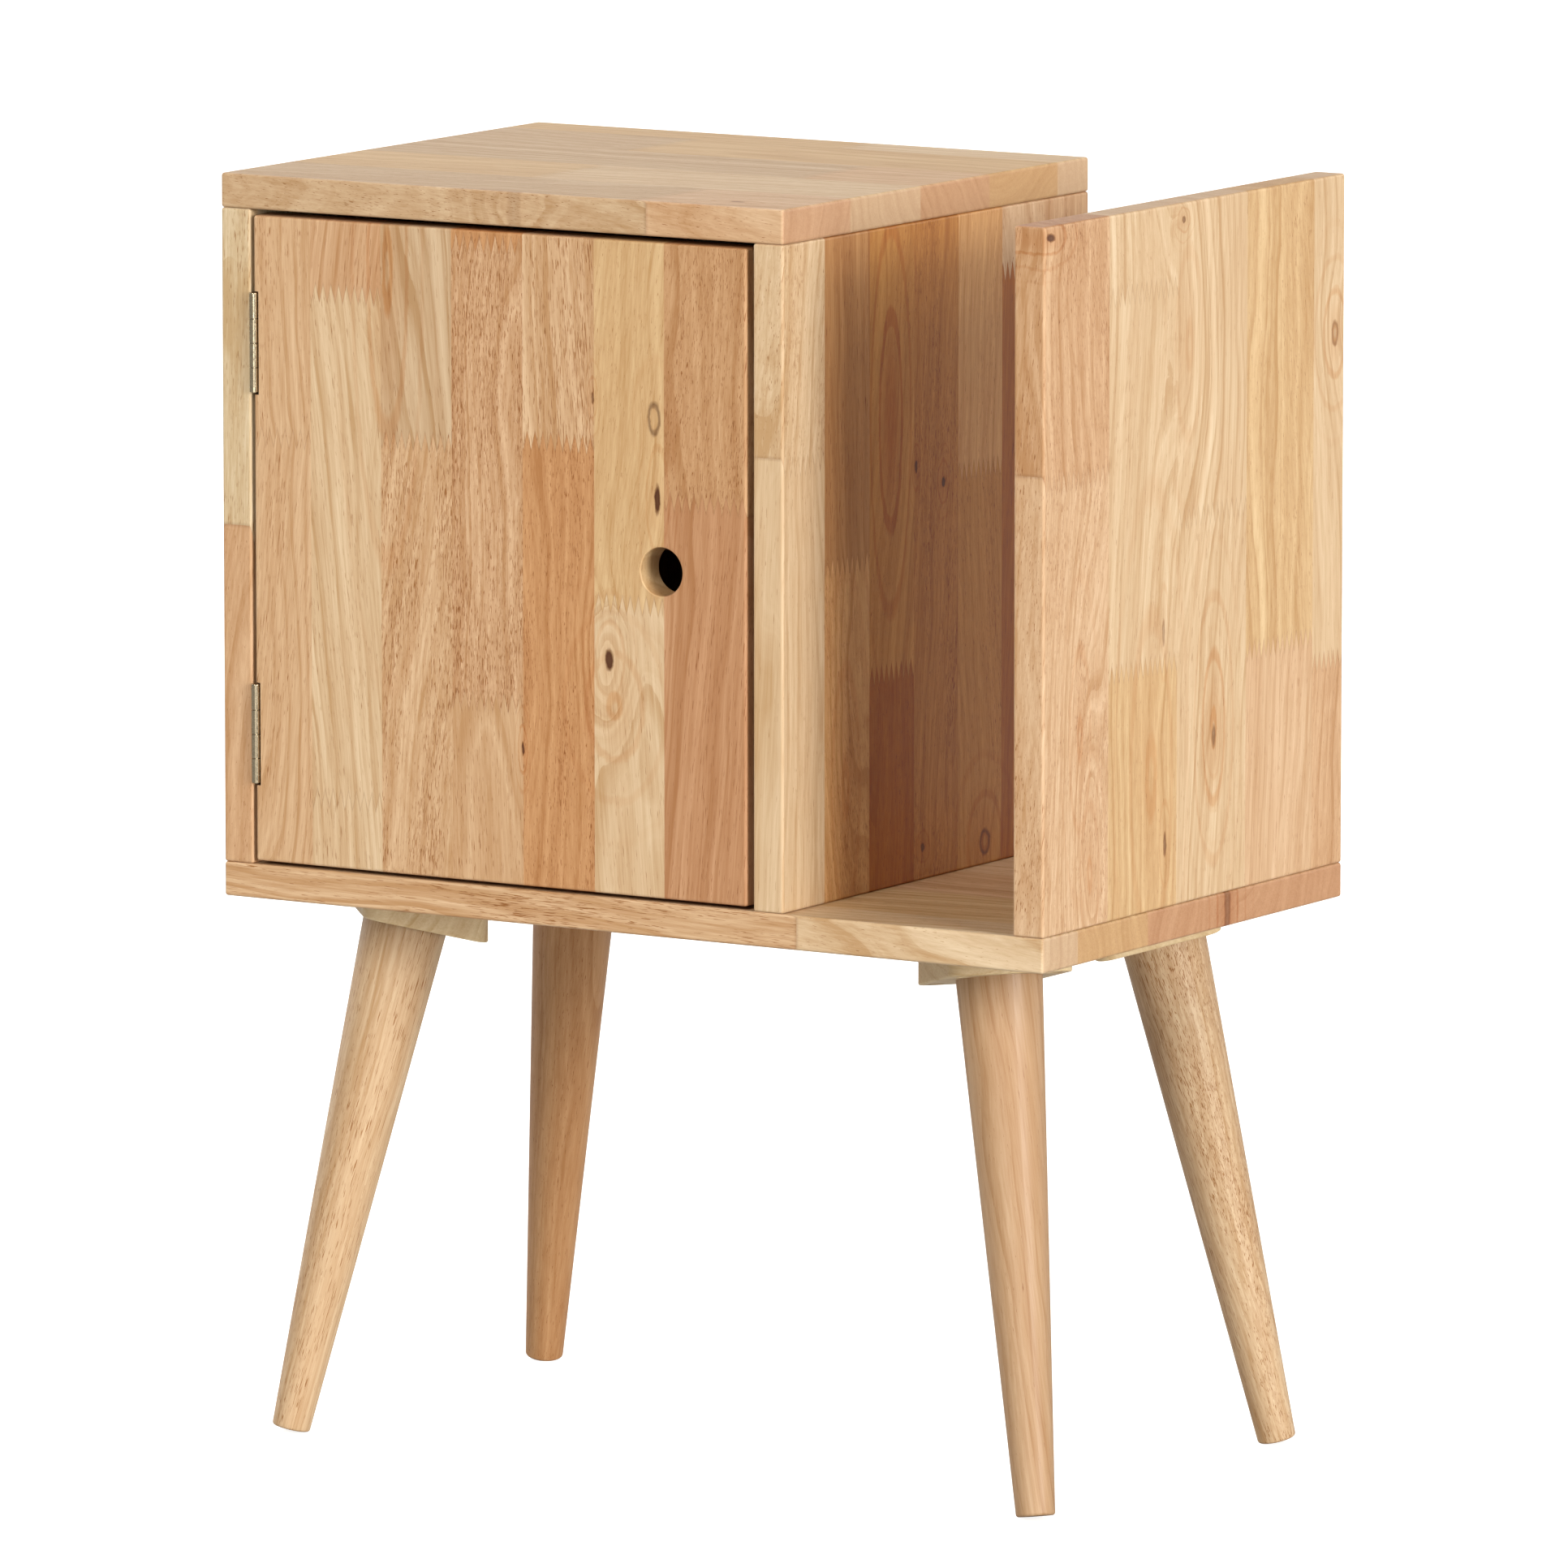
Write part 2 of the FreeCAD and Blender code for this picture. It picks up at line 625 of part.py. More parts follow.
def headed_screw(name, key):
    """A screw that stands up from its seat at zero, with its head below."""
    body = new_body(name, is_node=False)
    shank, head = f"{key}_diameter / 2", f"{key}_head / 2"
    turn_profile(body, [
        ("0", f"-{key}_head_height"),
        (head, f"-{key}_head_height"),
        (head, "0"),
        (shank, "0"),
        (shank, f"{key}_length - {key}_tip"),
        ("0", f"{key}_length"),
    ])
    return body


def hinge_screws():
    """Four screws in the cabinet's leaves and four in the door's, flush with the leaves' faces."""
    master = countersunk_screw("small_screw")
    heights = [f"{height} + {hole}" for height in HINGE_HEIGHTS.values() for hole in HINGE_HOLES]
    face = f"({BARREL_RADIUS} - leaf_thickness)"
    row = f"{BARREL_Y} + hinge_hole_reach"
    cabinet = [(f"{BARREL_X} - {face}", row, z) for z in heights]
    in_door = [(f"{BARREL_X} + {face}", row, z) for z in heights]
    group("hinge_cabinet_screws", copies(master, cabinet, ("0", "90", "0")))
    group("hinge_door_screws", copies(master, in_door, ("0", "-90", "0")))
    strike = (CATCH_X, f"{FRONT} + board_thickness + strike_thickness", f"{TOP_OF_SIDES} - pole_drop")
    group("strike_screw", copies(master, [strike], ("0", "0", "-90")))


def connector_screws():
    """Connector screws, heads flush with the base's underside: two in each side, three in the outer panel."""
    body = new_body("connector_screw", is_node=False)
    shank, thread = "connector_diameter / 2", "connector_thread_diameter / 2"
    turn_profile(body, [
        ("0", "0"),
        ("connector_head / 2", "0"),
        ("connector_head / 2", "connector_head_height - (connector_head - connector_diameter) / 2"),
        (shank, "connector_head_height"),
        (shank, "connector_shoulder"),
        (thread, "connector_shoulder"),
        (thread, "connector_length - connector_tip"),
        ("0", "connector_length"),
    ])
    sides = [(f"{left} + {HALF_BOARD}", f"{FRONT} + {y}", UNDERSIDE)
             for left in (LEFT, DIVIDER_LEFT) for y in FITTING_PLACES]
    outer = [(f"{OUTER_LEFT} + {HALF_BOARD}", f"{FRONT} + {y}", UNDERSIDE) for y in OUTER_FITTING_PLACES]
    group("side_panel_screws", copies(body, sides))
    group("outer_panel_screws", copies(body, outer))


def dowels():
    """Fluted beech dowels, without their flutes: four up into the top, six up out of the base."""
    body = new_body("dowel", is_node=False)
    radius = "dowel_diameter / 2"
    turn_profile(body, [
        ("0", "0"),
        (f"{radius} - dowel_chamfer", "0"),
        (radius, "dowel_chamfer"),
        (radius, "dowel_length - dowel_chamfer"),
        (f"{radius} - dowel_chamfer", "dowel_length"),
        ("0", "dowel_length"),
    ])
    top = [(f"{left} + {HALF_BOARD}", f"{FRONT} + {y}", f"{TOP_OF_SIDES} + dowel_base_depth - dowel_length")
           for left in (LEFT, DIVIDER_LEFT) for y in DOWEL_PLACES]
    base = [(f"{left} + {HALF_BOARD}", f"{FRONT} + {y}", f"{FLOOR_OF_CABINET} - dowel_base_depth")
            for left in (LEFT, DIVIDER_LEFT, OUTER_LEFT) for y in DOWEL_PLACES]
    group("top_dowels", copies(body, top))
    group("base_dowels", copies(body, base))


def cam_fittings():
    """Bolts screwed up into the top, each caught below by a round cam in the side's inner face."""
    bolt = new_body("cam_bolt", is_node=False)
    radius, neck, head = "cam_bolt_diameter / 2", "cam_bolt_neck_diameter / 2", "cam_bolt_head_diameter / 2"
    head_low = "-cam_drop - cam_bolt_head_height / 2"
    neck_low = "cam_bolt_head_height / 2 - cam_drop"
    turn_profile(bolt, [
        ("0", head_low),
        (head, head_low),
        (head, neck_low),
        (neck, neck_low),
        (neck, f"{neck_low} + cam_bolt_neck_length"),
        (radius, f"{neck_low} + cam_bolt_neck_length"),
        (radius, "cam_bolt_thread_length"),
        ("0", "cam_bolt_thread_length"),
    ])
    spots = [(f"{left} + {HALF_BOARD}", f"{FRONT} + {y}", TOP_OF_SIDES)
             for left in (LEFT, DIVIDER_LEFT) for y in FITTING_PLACES]
    group("cam_bolts", copies(bolt, spots))

    cam = new_body("cam", is_node=False)
    disc = sketch_on(cam, "XY_Plane", "-cam_depth")
    add_circle(disc, ("0", "0"), "cam_diameter / 2")
    pad(cam, disc, "cam_depth")
    slot = sketch_on(cam, "XY_Plane")
    add_rectangle(slot, ("-cam_slot_length / 2", "-cam_slot_width / 2"), ("cam_slot_length / 2", "cam_slot_width / 2"))
    cut(cam, slot, "cam_slot_depth")
    drill(cam, "YZ_Plane", [("0", f"-{HALF_BOARD}")], "cam_bore_diameter", "cam_diameter / 2 + cam_bolt_head_height",
          "-cam_bolt_head_height", True)
    height = f"{TOP_OF_SIDES} - cam_drop"
    left = [(f"{LEFT} + board_thickness", f"{FRONT} + {y}", height) for y in FITTING_PLACES]
    right = [(DIVIDER_LEFT, f"{FRONT} + {y}", height) for y in FITTING_PLACES]
    group("cam_locks", copies(cam, left, ("180", "-90", "0")) + copies(cam, right, ("0", "-90", "0")))


# Magnetic catch, about the middle of its front edge under the top
def catch():
    """The plastic catch with its two screw ears, its magnet between two pole plates, and its screws."""
    body = new_body("catch_body", (CATCH_X, CATCH_Y, TOP_OF_SIDES))
    front = sketch_on(body, "XZ_Plane")
    core, ear = "catch_core_width / 2", "catch_width / 2"
    add_outline(front, [
        (f"-{core}", "-catch_height"), (core, "-catch_height"), (core, "-catch_ear_thickness"),
        (ear, "-catch_ear_thickness"), (ear, "0"), (f"-{ear}", "0"),
        (f"-{ear}", "-catch_ear_thickness"), (f"-{core}", "-catch_ear_thickness"),
    ])
    feature = pad(body, front, "catch_depth")
    feature.Reversed = True
    doc.recompute()
    low = number("catch_round - catch_height")
    round_edges(body, "catch_round", lambda edge: edge.BoundBox.ZMax < low)
    pocket = sketch_on(body, "XZ_Plane")
    half_width = "(magnet_width / 2 + catch_pocket_play)"
    add_rectangle(pocket, (f"-{half_width}", f"-pole_drop - {POLE_SPAN} - catch_pocket_play"),
                  (half_width, f"{POLE_SPAN} - pole_drop + catch_pocket_play"))
    cut(body, pocket, "pole_depth + catch_pocket_play - pole_proud")
    drill(body, "XY_Plane", [(x, "catch_depth / 2") for x in EAR_HOLES],
          "catch_screw_diameter + 2 * fastener_play", "catch_ear_thickness")

    magnet = block("catch_magnet", ("magnet_width", "magnet_depth", "magnet_height"))
    deep = f"{CATCH_Y} - pole_proud + pole_depth"
    place(new_node(magnet, "catch_magnet"), (f"{CATCH_X} - magnet_width / 2", f"{deep} - magnet_depth",
                                             f"{TOP_OF_SIDES} - pole_drop - magnet_height / 2"))
    poles = [block("pole", ("magnet_width", "pole_depth", "pole_thickness")) for side in ("lower", "upper")]
    for pole, low in zip(poles, (f"-{POLE_SPAN}", "magnet_height / 2")):
        place(pole, (f"{CATCH_X} - magnet_width / 2", f"{CATCH_Y} - pole_proud",
                     f"{TOP_OF_SIDES} - pole_drop + {low}"))
    group("catch_pole_plates", poles)
    screw = headed_screw("catch_screw_master", "catch_screw")
    seats = [(f"{CATCH_X} + {x}", f"{CATCH_Y} + catch_depth / 2", f"{TOP_OF_SIDES} - catch_ear_thickness")
             for x in EAR_HOLES]
    group("catch_screws", copies(screw, seats))


def block(name, size):
    """A plain rectangular piece from its low corner."""
    box = doc.addObject("Part::Box", name)
    for attribute, formula in zip(("Length", "Width", "Height"), size):
        set_size(box, attribute, formula)
    return box


def strike_plate():
    """The steel plate on the door's back that the magnet holds, with a countersunk hole in its middle."""
    body = new_body("strike_plate", (CATCH_X, f"{FRONT} + board_thickness", f"{TOP_OF_SIDES} - pole_drop"))
    face = sketch_on(body, "XZ_Plane")
    add_rectangle(face, ("-strike_width / 2", "-strike_height / 2"), ("strike_width / 2", "strike_height / 2"))
    feature = pad(body, face, "strike_thickness")
    feature.Reversed = True
    doc.recompute()
    drill(body, "XZ_Plane", [("0", "0")], "small_screw_head + 2 * fastener_play", "strike_thickness",
          "-strike_thickness", True, -45)


# Legs and their wedge blocks, about the point where the leg's axis meets the underside
def leg_block(corner):
    """The wedge that tilts a leg: thin at its outer end, square to the leg's axis below."""
    name, side_x, side_y, heading = corner
    axis_x, axis_y = leg_axis(side_x, side_y)
    body = new_body(f"{name}_leg_block", (f"{LEFT} + {axis_x}", f"{FRONT} + {axis_y}", UNDERSIDE),
                    (heading, "0", "0"))
    profile = sketch_on(body, "XZ_Plane")
    inner_reach = "block_outer_reach - block_length"
    add_outline(profile, [("block_outer_reach", "0"), (inner_reach, "0"), (inner_reach, f"-{BLOCK_THICK_EDGE}"),
                          ("block_outer_reach", "-block_thin_edge")])
    pad(body, profile, "block_width", True)
    round_edges(body, "block_corner_round", is_upright)
    round_edges(body, "block_edge_round", lambda edge: edge.BoundBox.ZMax < -number("block_edge_round")
                and not is_upright(edge))
    drill(body, "XY_Plane", BLOCK_SCREWS, "block_screw_diameter + 2 * fastener_play",
          f"{BLOCK_THICK_EDGE} + overrun")
    drill(body, "XY_Plane", BLOCK_SCREWS, "block_screw_head + 2 * bore_end_play",
          f"{BLOCK_THICK_EDGE}", "-block_screw_seat")
    insert = sketch_on(body, "XY_Plane")
    set_size(insert, "AttachmentOffset", f"placement(vector({LEG_SEAT} * sin(leg_splay); 0;"
             f" -{LEG_SEAT} * cos(leg_splay)); rotation(0; -leg_splay; 0))")
    add_circle(insert, ("0", "0"), "insert_diameter / 2 + fastener_play")
    cut(body, insert, "insert_length + bore_end_play", True)


def is_upright(edge):
    """Whether an edge is a straight line along Z."""
    box = edge.BoundBox
    return max(box.XLength, box.YLength) < TOLERANCE


def leg_frame(corner, distance):
    """Place and turn of a piece on a leg's axis, at a distance below the underside along that axis."""
    name, side_x, side_y, heading = corner
    axis_x, axis_y = leg_axis(side_x, side_y)
    out = f"({distance}) * sin(leg_splay)"
    spot = (f"{LEFT} + {axis_x} + {out} * cos({heading})", f"{FRONT} + {axis_y} + {out} * sin({heading})",
            f"{UNDERSIDE} - ({distance}) * cos(leg_splay)")
    return spot, (heading, "-leg_splay", "0")


def leg(corner):
    """A turned leg that tapers to its foot, bored at the top for the hanger bolt."""
    spot, turn = leg_frame(corner, LEG_SEAT)
    body = new_body(f"{corner[0]}_leg", spot, turn)
    bore, bore_depth = "(hanger_lag_diameter / 2 + fastener_play)", "-(hanger_lag_length + bore_end_play)"
    turn_profile(body, [
        (bore, "0"),
        ("leg_top_diameter / 2", "0"),
        ("leg_foot_diameter / 2", "-leg_length"),
        ("0", "-leg_length"),
        ("0", bore_depth),
        (bore, bore_depth),
    ])
    foot = number("-leg_length") + TOLERANCE
    round_edges(body, "leg_foot_round", lambda edge: edge.BoundBox.ZMax < foot)


def leg_hardware():
    """Per leg a hanger bolt, a threaded insert in the block, and four screws that hold the block."""
    bolt = new_body("hanger_bolt", is_node=False)
    thread, lag = "hanger_diameter / 2", "hanger_lag_diameter / 2"
    turn_profile(bolt, [
        ("0", "-hanger_lag_length"),
        (lag, "hanger_tip - hanger_lag_length"),
        (lag, "0"),
        (thread, "0"),
        (thread, "hanger_thread_length"),
        ("0", "hanger_thread_length"),
    ])
    insert = new_body("insert", is_node=False)
    turn_profile(insert, [
        (f"{thread} + fastener_play", "0"),
        ("insert_diameter / 2", "0"),
        ("insert_diameter / 2", "insert_length"),
        (f"{thread} + fastener_play", "insert_length"),
    ])
    screw = headed_screw("block_screw_master", "block_screw")
    bolts, inserts, screws = [], [], []
    for corner in CORNERS:
        spot, turn = leg_frame(corner, LEG_SEAT)
        bolts += copies(bolt, [spot], turn)
        inserts += copies(insert, [spot], turn)
        seats = [block_spot(corner, place_on_block) for place_on_block in BLOCK_SCREWS]
        screws += copies(screw, [(f"{LEFT} + {x}", f"{FRONT} + {y}", f"{UNDERSIDE} - block_screw_seat")
                                 for x, y in seats])
    group("hanger_bolts", bolts)
    group("leg_inserts", inserts)
    group("leg_block_screws", screws)


def check_and_write():
    """Stops at any failed object or bad shape, and otherwise writes one file for each sub-part."""
    doc.recompute()
    for item in doc.Objects:
        if "Invalid" in item.State or "Error" in item.State:
            raise RuntimeError(f"{item.Label} failed: {item.State}")
    os.makedirs("parts", exist_ok=True)
    for node in nodes:
        if node.Shape.isNull() or not node.Shape.isValid() or not node.Shape.Solids:
            raise RuntimeError(f"{node.Label} has no sound solid")
    for node in nodes:
        node.Shape.exportStep(f"parts/{node.Label}.step")
        print(f"{node.Label}: {len(node.Shape.Solids)} solids, {node.Shape.Volume / 1000:.2f} cm3")


fill_sheet()
top_panel()
base_panel()
left_side_panel()
side_panel("divider_panel", DIVIDER_LEFT, "0", True)
outer_panel()
back_panel()
door()
hinges()
hinge_screws()
strike_plate()
catch()
cam_fittings()
dowels()
connector_screws()
for table_corner in CORNERS:
    leg_block(table_corner)
    leg(table_corner)
leg_hardware()
check_and_write()
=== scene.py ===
import math
from collections import namedtuple

import bmesh
import bpy
from bpy.props import FloatProperty, FloatVectorProperty, PointerProperty
from mathutils import Matrix, Vector


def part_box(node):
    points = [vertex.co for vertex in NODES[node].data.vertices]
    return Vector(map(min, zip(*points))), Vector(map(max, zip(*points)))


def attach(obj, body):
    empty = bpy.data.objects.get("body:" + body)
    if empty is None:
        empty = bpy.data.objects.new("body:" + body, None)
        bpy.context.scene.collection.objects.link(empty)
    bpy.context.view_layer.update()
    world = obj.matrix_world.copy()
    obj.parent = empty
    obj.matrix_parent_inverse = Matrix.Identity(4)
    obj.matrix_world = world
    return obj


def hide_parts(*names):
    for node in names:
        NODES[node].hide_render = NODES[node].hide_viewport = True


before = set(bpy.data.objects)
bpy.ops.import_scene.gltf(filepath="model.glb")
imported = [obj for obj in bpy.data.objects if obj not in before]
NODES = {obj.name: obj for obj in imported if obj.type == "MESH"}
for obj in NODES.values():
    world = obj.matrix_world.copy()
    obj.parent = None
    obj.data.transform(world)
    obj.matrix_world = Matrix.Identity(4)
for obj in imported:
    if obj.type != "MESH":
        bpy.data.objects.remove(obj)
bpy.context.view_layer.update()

bl_info = {
    "name": "Rubberwood Side Table",
    "version": (1, 0, 0),
    "blender": (4, 5, 0),
    "location": "3D View > Sidebar > Side Table",
    "description": "Finishes a rubberwood side table and sets it in a pale studio",
    "category": "Object",
}

MM = 0.001


def srgb(code):
    """A hex colour as the linear values that shaders take."""
    channels = [int(code[i:i + 2], 16) / 255 for i in (0, 2, 4)]
    return tuple(c / 12.92 if c <= 0.04045 else ((c + 0.055) / 1.055) ** 2.4 for c in channels)


def colour_setting(name, code, description):
    """A colour that the user can change, from its hex value."""
    return FloatVectorProperty(name=name, description=description, subtype="COLOR", size=3, min=0, max=1,
                               default=srgb(code))


def length_setting(name, millimetres, description):
    """A length that the user can change, given in millimetres and kept in metres."""
    return FloatProperty(name=name, description=description, subtype="DISTANCE", unit="LENGTH", precision=5,
                         default=millimetres * MM)


class SideTableWood(bpy.types.PropertyGroup):
    """Tones and grain of the rubberwood boards and legs."""

    ivory: colour_setting("Ivory", "D2BA92", "The pale blocks under the base")
    pearl: colour_setting("Pearl", "C4AE8D", "The palest staves, without a yellow cast")
    cream: colour_setting("Cream", "C2A582", "The pale sapwood staves")
    straw: colour_setting("Straw", "BE9C71", "Pale staves with a yellow cast")
    sand: colour_setting("Sand", "B69876", "Pale staves with a grey cast")
    wheat: colour_setting("Wheat", "BD9974", "Middling golden staves")
    blush: colour_setting("Blush", "C09D7A", "Pale staves with a pink cast")
    tan: colour_setting("Tan", "B9926D", "The commonest staves")
    honey: colour_setting("Honey", "B28256", "Warm orange staves")
    ash: colour_setting("Ash", "A98765", "The dull pinkish leg")
    dun: colour_setting("Dun", "AF855D", "Greyish brown staves")
    rose: colour_setting("Rose", "AC7E59", "Pink brown staves")
    # Russet, cedar, amber, chestnut and umber are used only on the divider's wall inside the slot. Besides
    # each stave's own tone they carry painted shade: deeper and more saturated than the wood, standing in
    # for the slot's shadow.
    russet: colour_setting("Russet", "C0905C", "Light orange brown staves")
    cedar: colour_setting("Cedar", "A97848", "Deep brown staves")
    amber: colour_setting("Amber", "B07A3C", "Deep orange staves")
    bark: colour_setting("Bark", "A67C54", "The brown leg")
    chestnut: colour_setting("Chestnut", "A86F33", "Dark orange brown staves")
    umber: colour_setting("Umber", "9C5A17", "The darkest staves")
    finger_pitch: length_setting("Finger pitch", 4.8, "From one glued finger to the next")
    finger_length: length_setting("Finger length", 10, "How far the fingers of an end joint reach")
    ring_spacing: length_setting("Ring spacing", 8, "From one growth ring to the next")
    fibre_width: length_setting("Fibre width", 0.9, "Width of the finest streaks")
    pore_width: length_setting("Pore width", 0.42, "Width of the open pores, drawn a little coarse to show")
    pore_length: length_setting("Pore length", 10, "Length of the open pores along the grain")


class SideTableHardware(bpy.types.PropertyGroup):
    """Colours of the metal, plastic and plywood pieces."""

    nickel: colour_setting("Nickel", "A6987E", "Satin nickel of the hinges")
    zinc: colour_setting("Zinc", "B4B8BC", "Bright zinc of screws, bolts and cams")
    catch: colour_setting("Catch", "5A5242", "Moulded body of the magnetic catch")
    ferrite: colour_setting("Ferrite", "2B2B2D", "Sintered magnet")
    plywood: colour_setting("Plywood", "DFBF8C", "Face veneer of the back panel")
    beech: colour_setting("Beech", "D8B48C", "Turned dowels")


class SideTableStage(bpy.types.PropertyGroup):
    """Camera and light of the studio."""

    floor: colour_setting("Floor", "B9B8B6", "The seamless pale floor")
    floor_size: length_setting("Floor size", 60000, "Side of the square floor")
    camera_spot: FloatVectorProperty(
        name="Camera", description="Where the camera stands", subtype="XYZ", unit="LENGTH", size=3,
        default=(4.0642, -6.55, 1.4796))
    camera_turn: FloatProperty(
        name="Camera turn", description="Camera's heading, from straight ahead to the left", subtype="ANGLE",
        default=math.radians(31.81))
    camera_dip: FloatProperty(
        name="Camera dip", description="How far the camera looks down", subtype="ANGLE",
        default=math.radians(8.46))
    camera_lens: FloatProperty(name="Lens", description="Focal length in millimetres", default=344.16)
    camera_rise: FloatProperty(name="Rise", description="Upward shift of the frame", default=0.015)


# A stave's far edge across its board in millimetres, and its pieces from the low end: each one's tone, how
# many pores show, and how far along the board it reaches
Stave = namedtuple("Stave", "reach pieces")
Piece = namedtuple("Piece", "tone pores reach", defaults=(None,))
# A knot's middle along and across its board and its radius in millimetres, how many times longer than wide
# it is, how dark its heart is, how far it pushes the rings out in millimetres, how hollow it is, and how
# brown its halo is, which is as dark as the heart unless it is given
Knot = namedtuple("Knot", "along across radius stretch dark swell hollow cloud", defaults=(0, None))


def add(tree, kind, *links, **settings):
    """Adds a shader node with its settings and its links, each a socket and a value or an output."""
    node = tree.nodes.new(f"ShaderNode{kind}")
    for name, value in settings.items():
        setattr(node, name, value)
    for socket, value in links:
        if isinstance(value, bpy.types.NodeSocket):
            tree.links.new(value, node.inputs[socket])
        else:
            node.inputs[socket].default_value = value
    return node


def opaque(colour):
    """A colour with its alpha."""
    return (*colour, 1)


def new_group(name, inputs, outputs):
    """An empty node group, with its input and output nodes."""
    tree = bpy.data.node_groups.new(name, "ShaderNodeTree")
    for direction, sockets in (("INPUT", inputs), ("OUTPUT", outputs)):
        for socket, kind in sockets.items():
            tree.interface.new_socket(socket, in_out=direction, socket_type=f"NodeSocket{kind}")
    return tree, tree.nodes.new("NodeGroupInput").outputs, tree.nodes.new("NodeGroupOutput")


def new_material(name, *values):
    """A material with its tree and its surface shader, given the values that are the same all over."""
    material = bpy.data.materials.new(name)
    material.use_nodes = True
    tree = material.node_tree
    tree.nodes.clear()
    shader = add(tree, "BsdfPrincipled", *values)
    add(tree, "OutputMaterial", ("Surface", shader.outputs["BSDF"]))
    return material, tree, shader


def dress(node, material):
    """Gives a CAD node its material."""
    slots = NODES[node].data.materials
    slots.clear()
    slots.append(material)


def stretched_noise(tree, spot, repeats, detail, roughness=0.5, distortion=0):
    """Noise with its own repeats per millimetre on each axis of the wood."""
    stretched = add(tree, "VectorMath", (0, spot), (1, repeats), operation="MULTIPLY").outputs[0]
    return add(tree, "TexNoise", ("Vector", stretched), ("Scale", 1), ("Detail", detail),
               ("Roughness", roughness), ("Distortion", distortion)).outputs


def stained(tree, colour, amount, stain):
    """The colour, darkened by a stain where the amount is one."""
    tint = add(tree, "Mix", ("Factor", amount), (6, (1, 1, 1, 1)), (7, opaque(stain)),
               data_type="RGBA").outputs[2]
    return add(tree, "VectorMath", (0, colour), (1, tint), operation="MULTIPLY").outputs[0]


# Repeats per millimetre of the wood's patterns, along the grain, across it and through the wood
WANDER = (0.006, 0.02, 0.02)
PATCHES = (0.009, 0.055, 0.055)
STREAKS = (0.009, 0.38, 0.38)
FIBRE_STRETCH = 40
# Where in the log a piece is cut, in millimetres: its spread along the log, and the pith's place across the
# piece and behind it, with how far the rings sway each way
LOG_LENGTH = 900
PITH_ACROSS, SWAY_ACROSS = (-40, 340), 26
PITH_BEHIND, SWAY_BEHIND = (15, 80), 18
# How steeply the grain leans at most
LEAN = 0.12
# What a dye, a cast or a stain leaves of the red, green and blue under it
DARK_DYE = (0.79, 0.68, 0.53)
LIGHT_DYE = (1.18, 1.27, 1.36)
PALE_CAST = (1.04, 1.06, 1.07)
WARM_CAST = (0.98, 0.95, 0.91)
PORE_STAIN = (0.55, 0.37, 0.2)
GLUE_STAIN = (0.42, 0.3, 0.22)
END_STAIN = (0.86, 0.76, 0.68)
HALO_STAIN = (0.82, 0.6, 0.4)
HEART_STAIN = (0.16, 0.085, 0.045)


def leaning_spot(tree, given, seed):
    """A place in a piece as its grain leans, and the same place in the piece's own part of the log."""
    spot = add(tree, "SeparateXYZ", (0, given["Spot"])).outputs
    leaned = [spot[0]]
    for axis in (1, 2):
        slope = add(tree, "MapRange", (0, seed[axis - 1]), (3, -LEAN), (4, LEAN)).outputs[0]
        leaned.append(add(tree, "Math", (0, spot[0]), (1, slope), (2, spot[axis]),
                          operation="MULTIPLY_ADD").outputs[0])
    grown = add(tree, "CombineXYZ", *enumerate(leaned)).outputs[0]
    own = add(tree, "VectorMath", (0, given["Seed"]), (1, (LOG_LENGTH,) * 3), (2, grown),
              operation="MULTIPLY_ADD").outputs[0]
    return leaned, own


def ring_count(tree, given, seed, leaned, own, spacing):
    """How many growth rings lie between the pith and a place, with the swelling that knots give them."""
    wander = stretched_noise(tree, own, WANDER, 2)["Color"]
    sway = add(tree, "SeparateXYZ", (0, add(
        tree, "VectorMath", (0, wander), (1, (0.5, 0.5, 0.5)), operation="SUBTRACT").outputs[0])).outputs
    flat = []
    for axis, draw, (near, far), bend in ((1, seed[2], PITH_ACROSS, SWAY_ACROSS),
                                          (2, seed[0], PITH_BEHIND, SWAY_BEHIND)):
        pith = add(tree, "MapRange", (0, draw), (3, near), (4, far)).outputs[0]
        centred = add(tree, "Math", (0, leaned[axis]), (1, pith), operation="SUBTRACT").outputs[0]
        flat.append(add(tree, "Math", (0, sway[axis]), (1, bend), (2, centred),
                        operation="MULTIPLY_ADD").outputs[0])
    radial = add(tree, "VectorMath", (0, add(tree, "CombineXYZ", *enumerate(flat)).outputs[0]),
                 operation="LENGTH").outputs["Value"]
    growth = add(tree, "Math", (0, radial), (1, given["Swell"]), operation="ADD").outputs[0]
    return add(tree, "Math", (0, growth), (1, spacing), operation="DIVIDE").outputs[0]


def open_pores(tree, given, own, patch, bands, wood):
    """Where a pore lies open. Pores are densest in the dark bands of some patches."""
    repeats = (MM / wood.pore_length, MM / wood.pore_width, MM / wood.pore_width)
    noise = stretched_noise(tree, own, repeats, 2, 0.45)[0]
    gather = add(tree, "MapRange", (0, patch), (1, 0.35), (2, 0.65)).outputs[0]
    dense = add(tree, "Math", (0, bands), (1, gather), operation="ADD").outputs[0]
    crowd = add(tree, "Math", (0, dense), (1, given["Pores"]), operation="MULTIPLY").outputs[0]
    bar = add(tree, "MapRange", (0, crowd), (3, 0.73), (4, 0.545)).outputs[0]
    over = add(tree, "Math", (0, noise), (1, bar), operation="SUBTRACT").outputs[0]
    return add(tree, "MapRange", (0, over), (1, 0), (2, 0.05)).outputs[0]


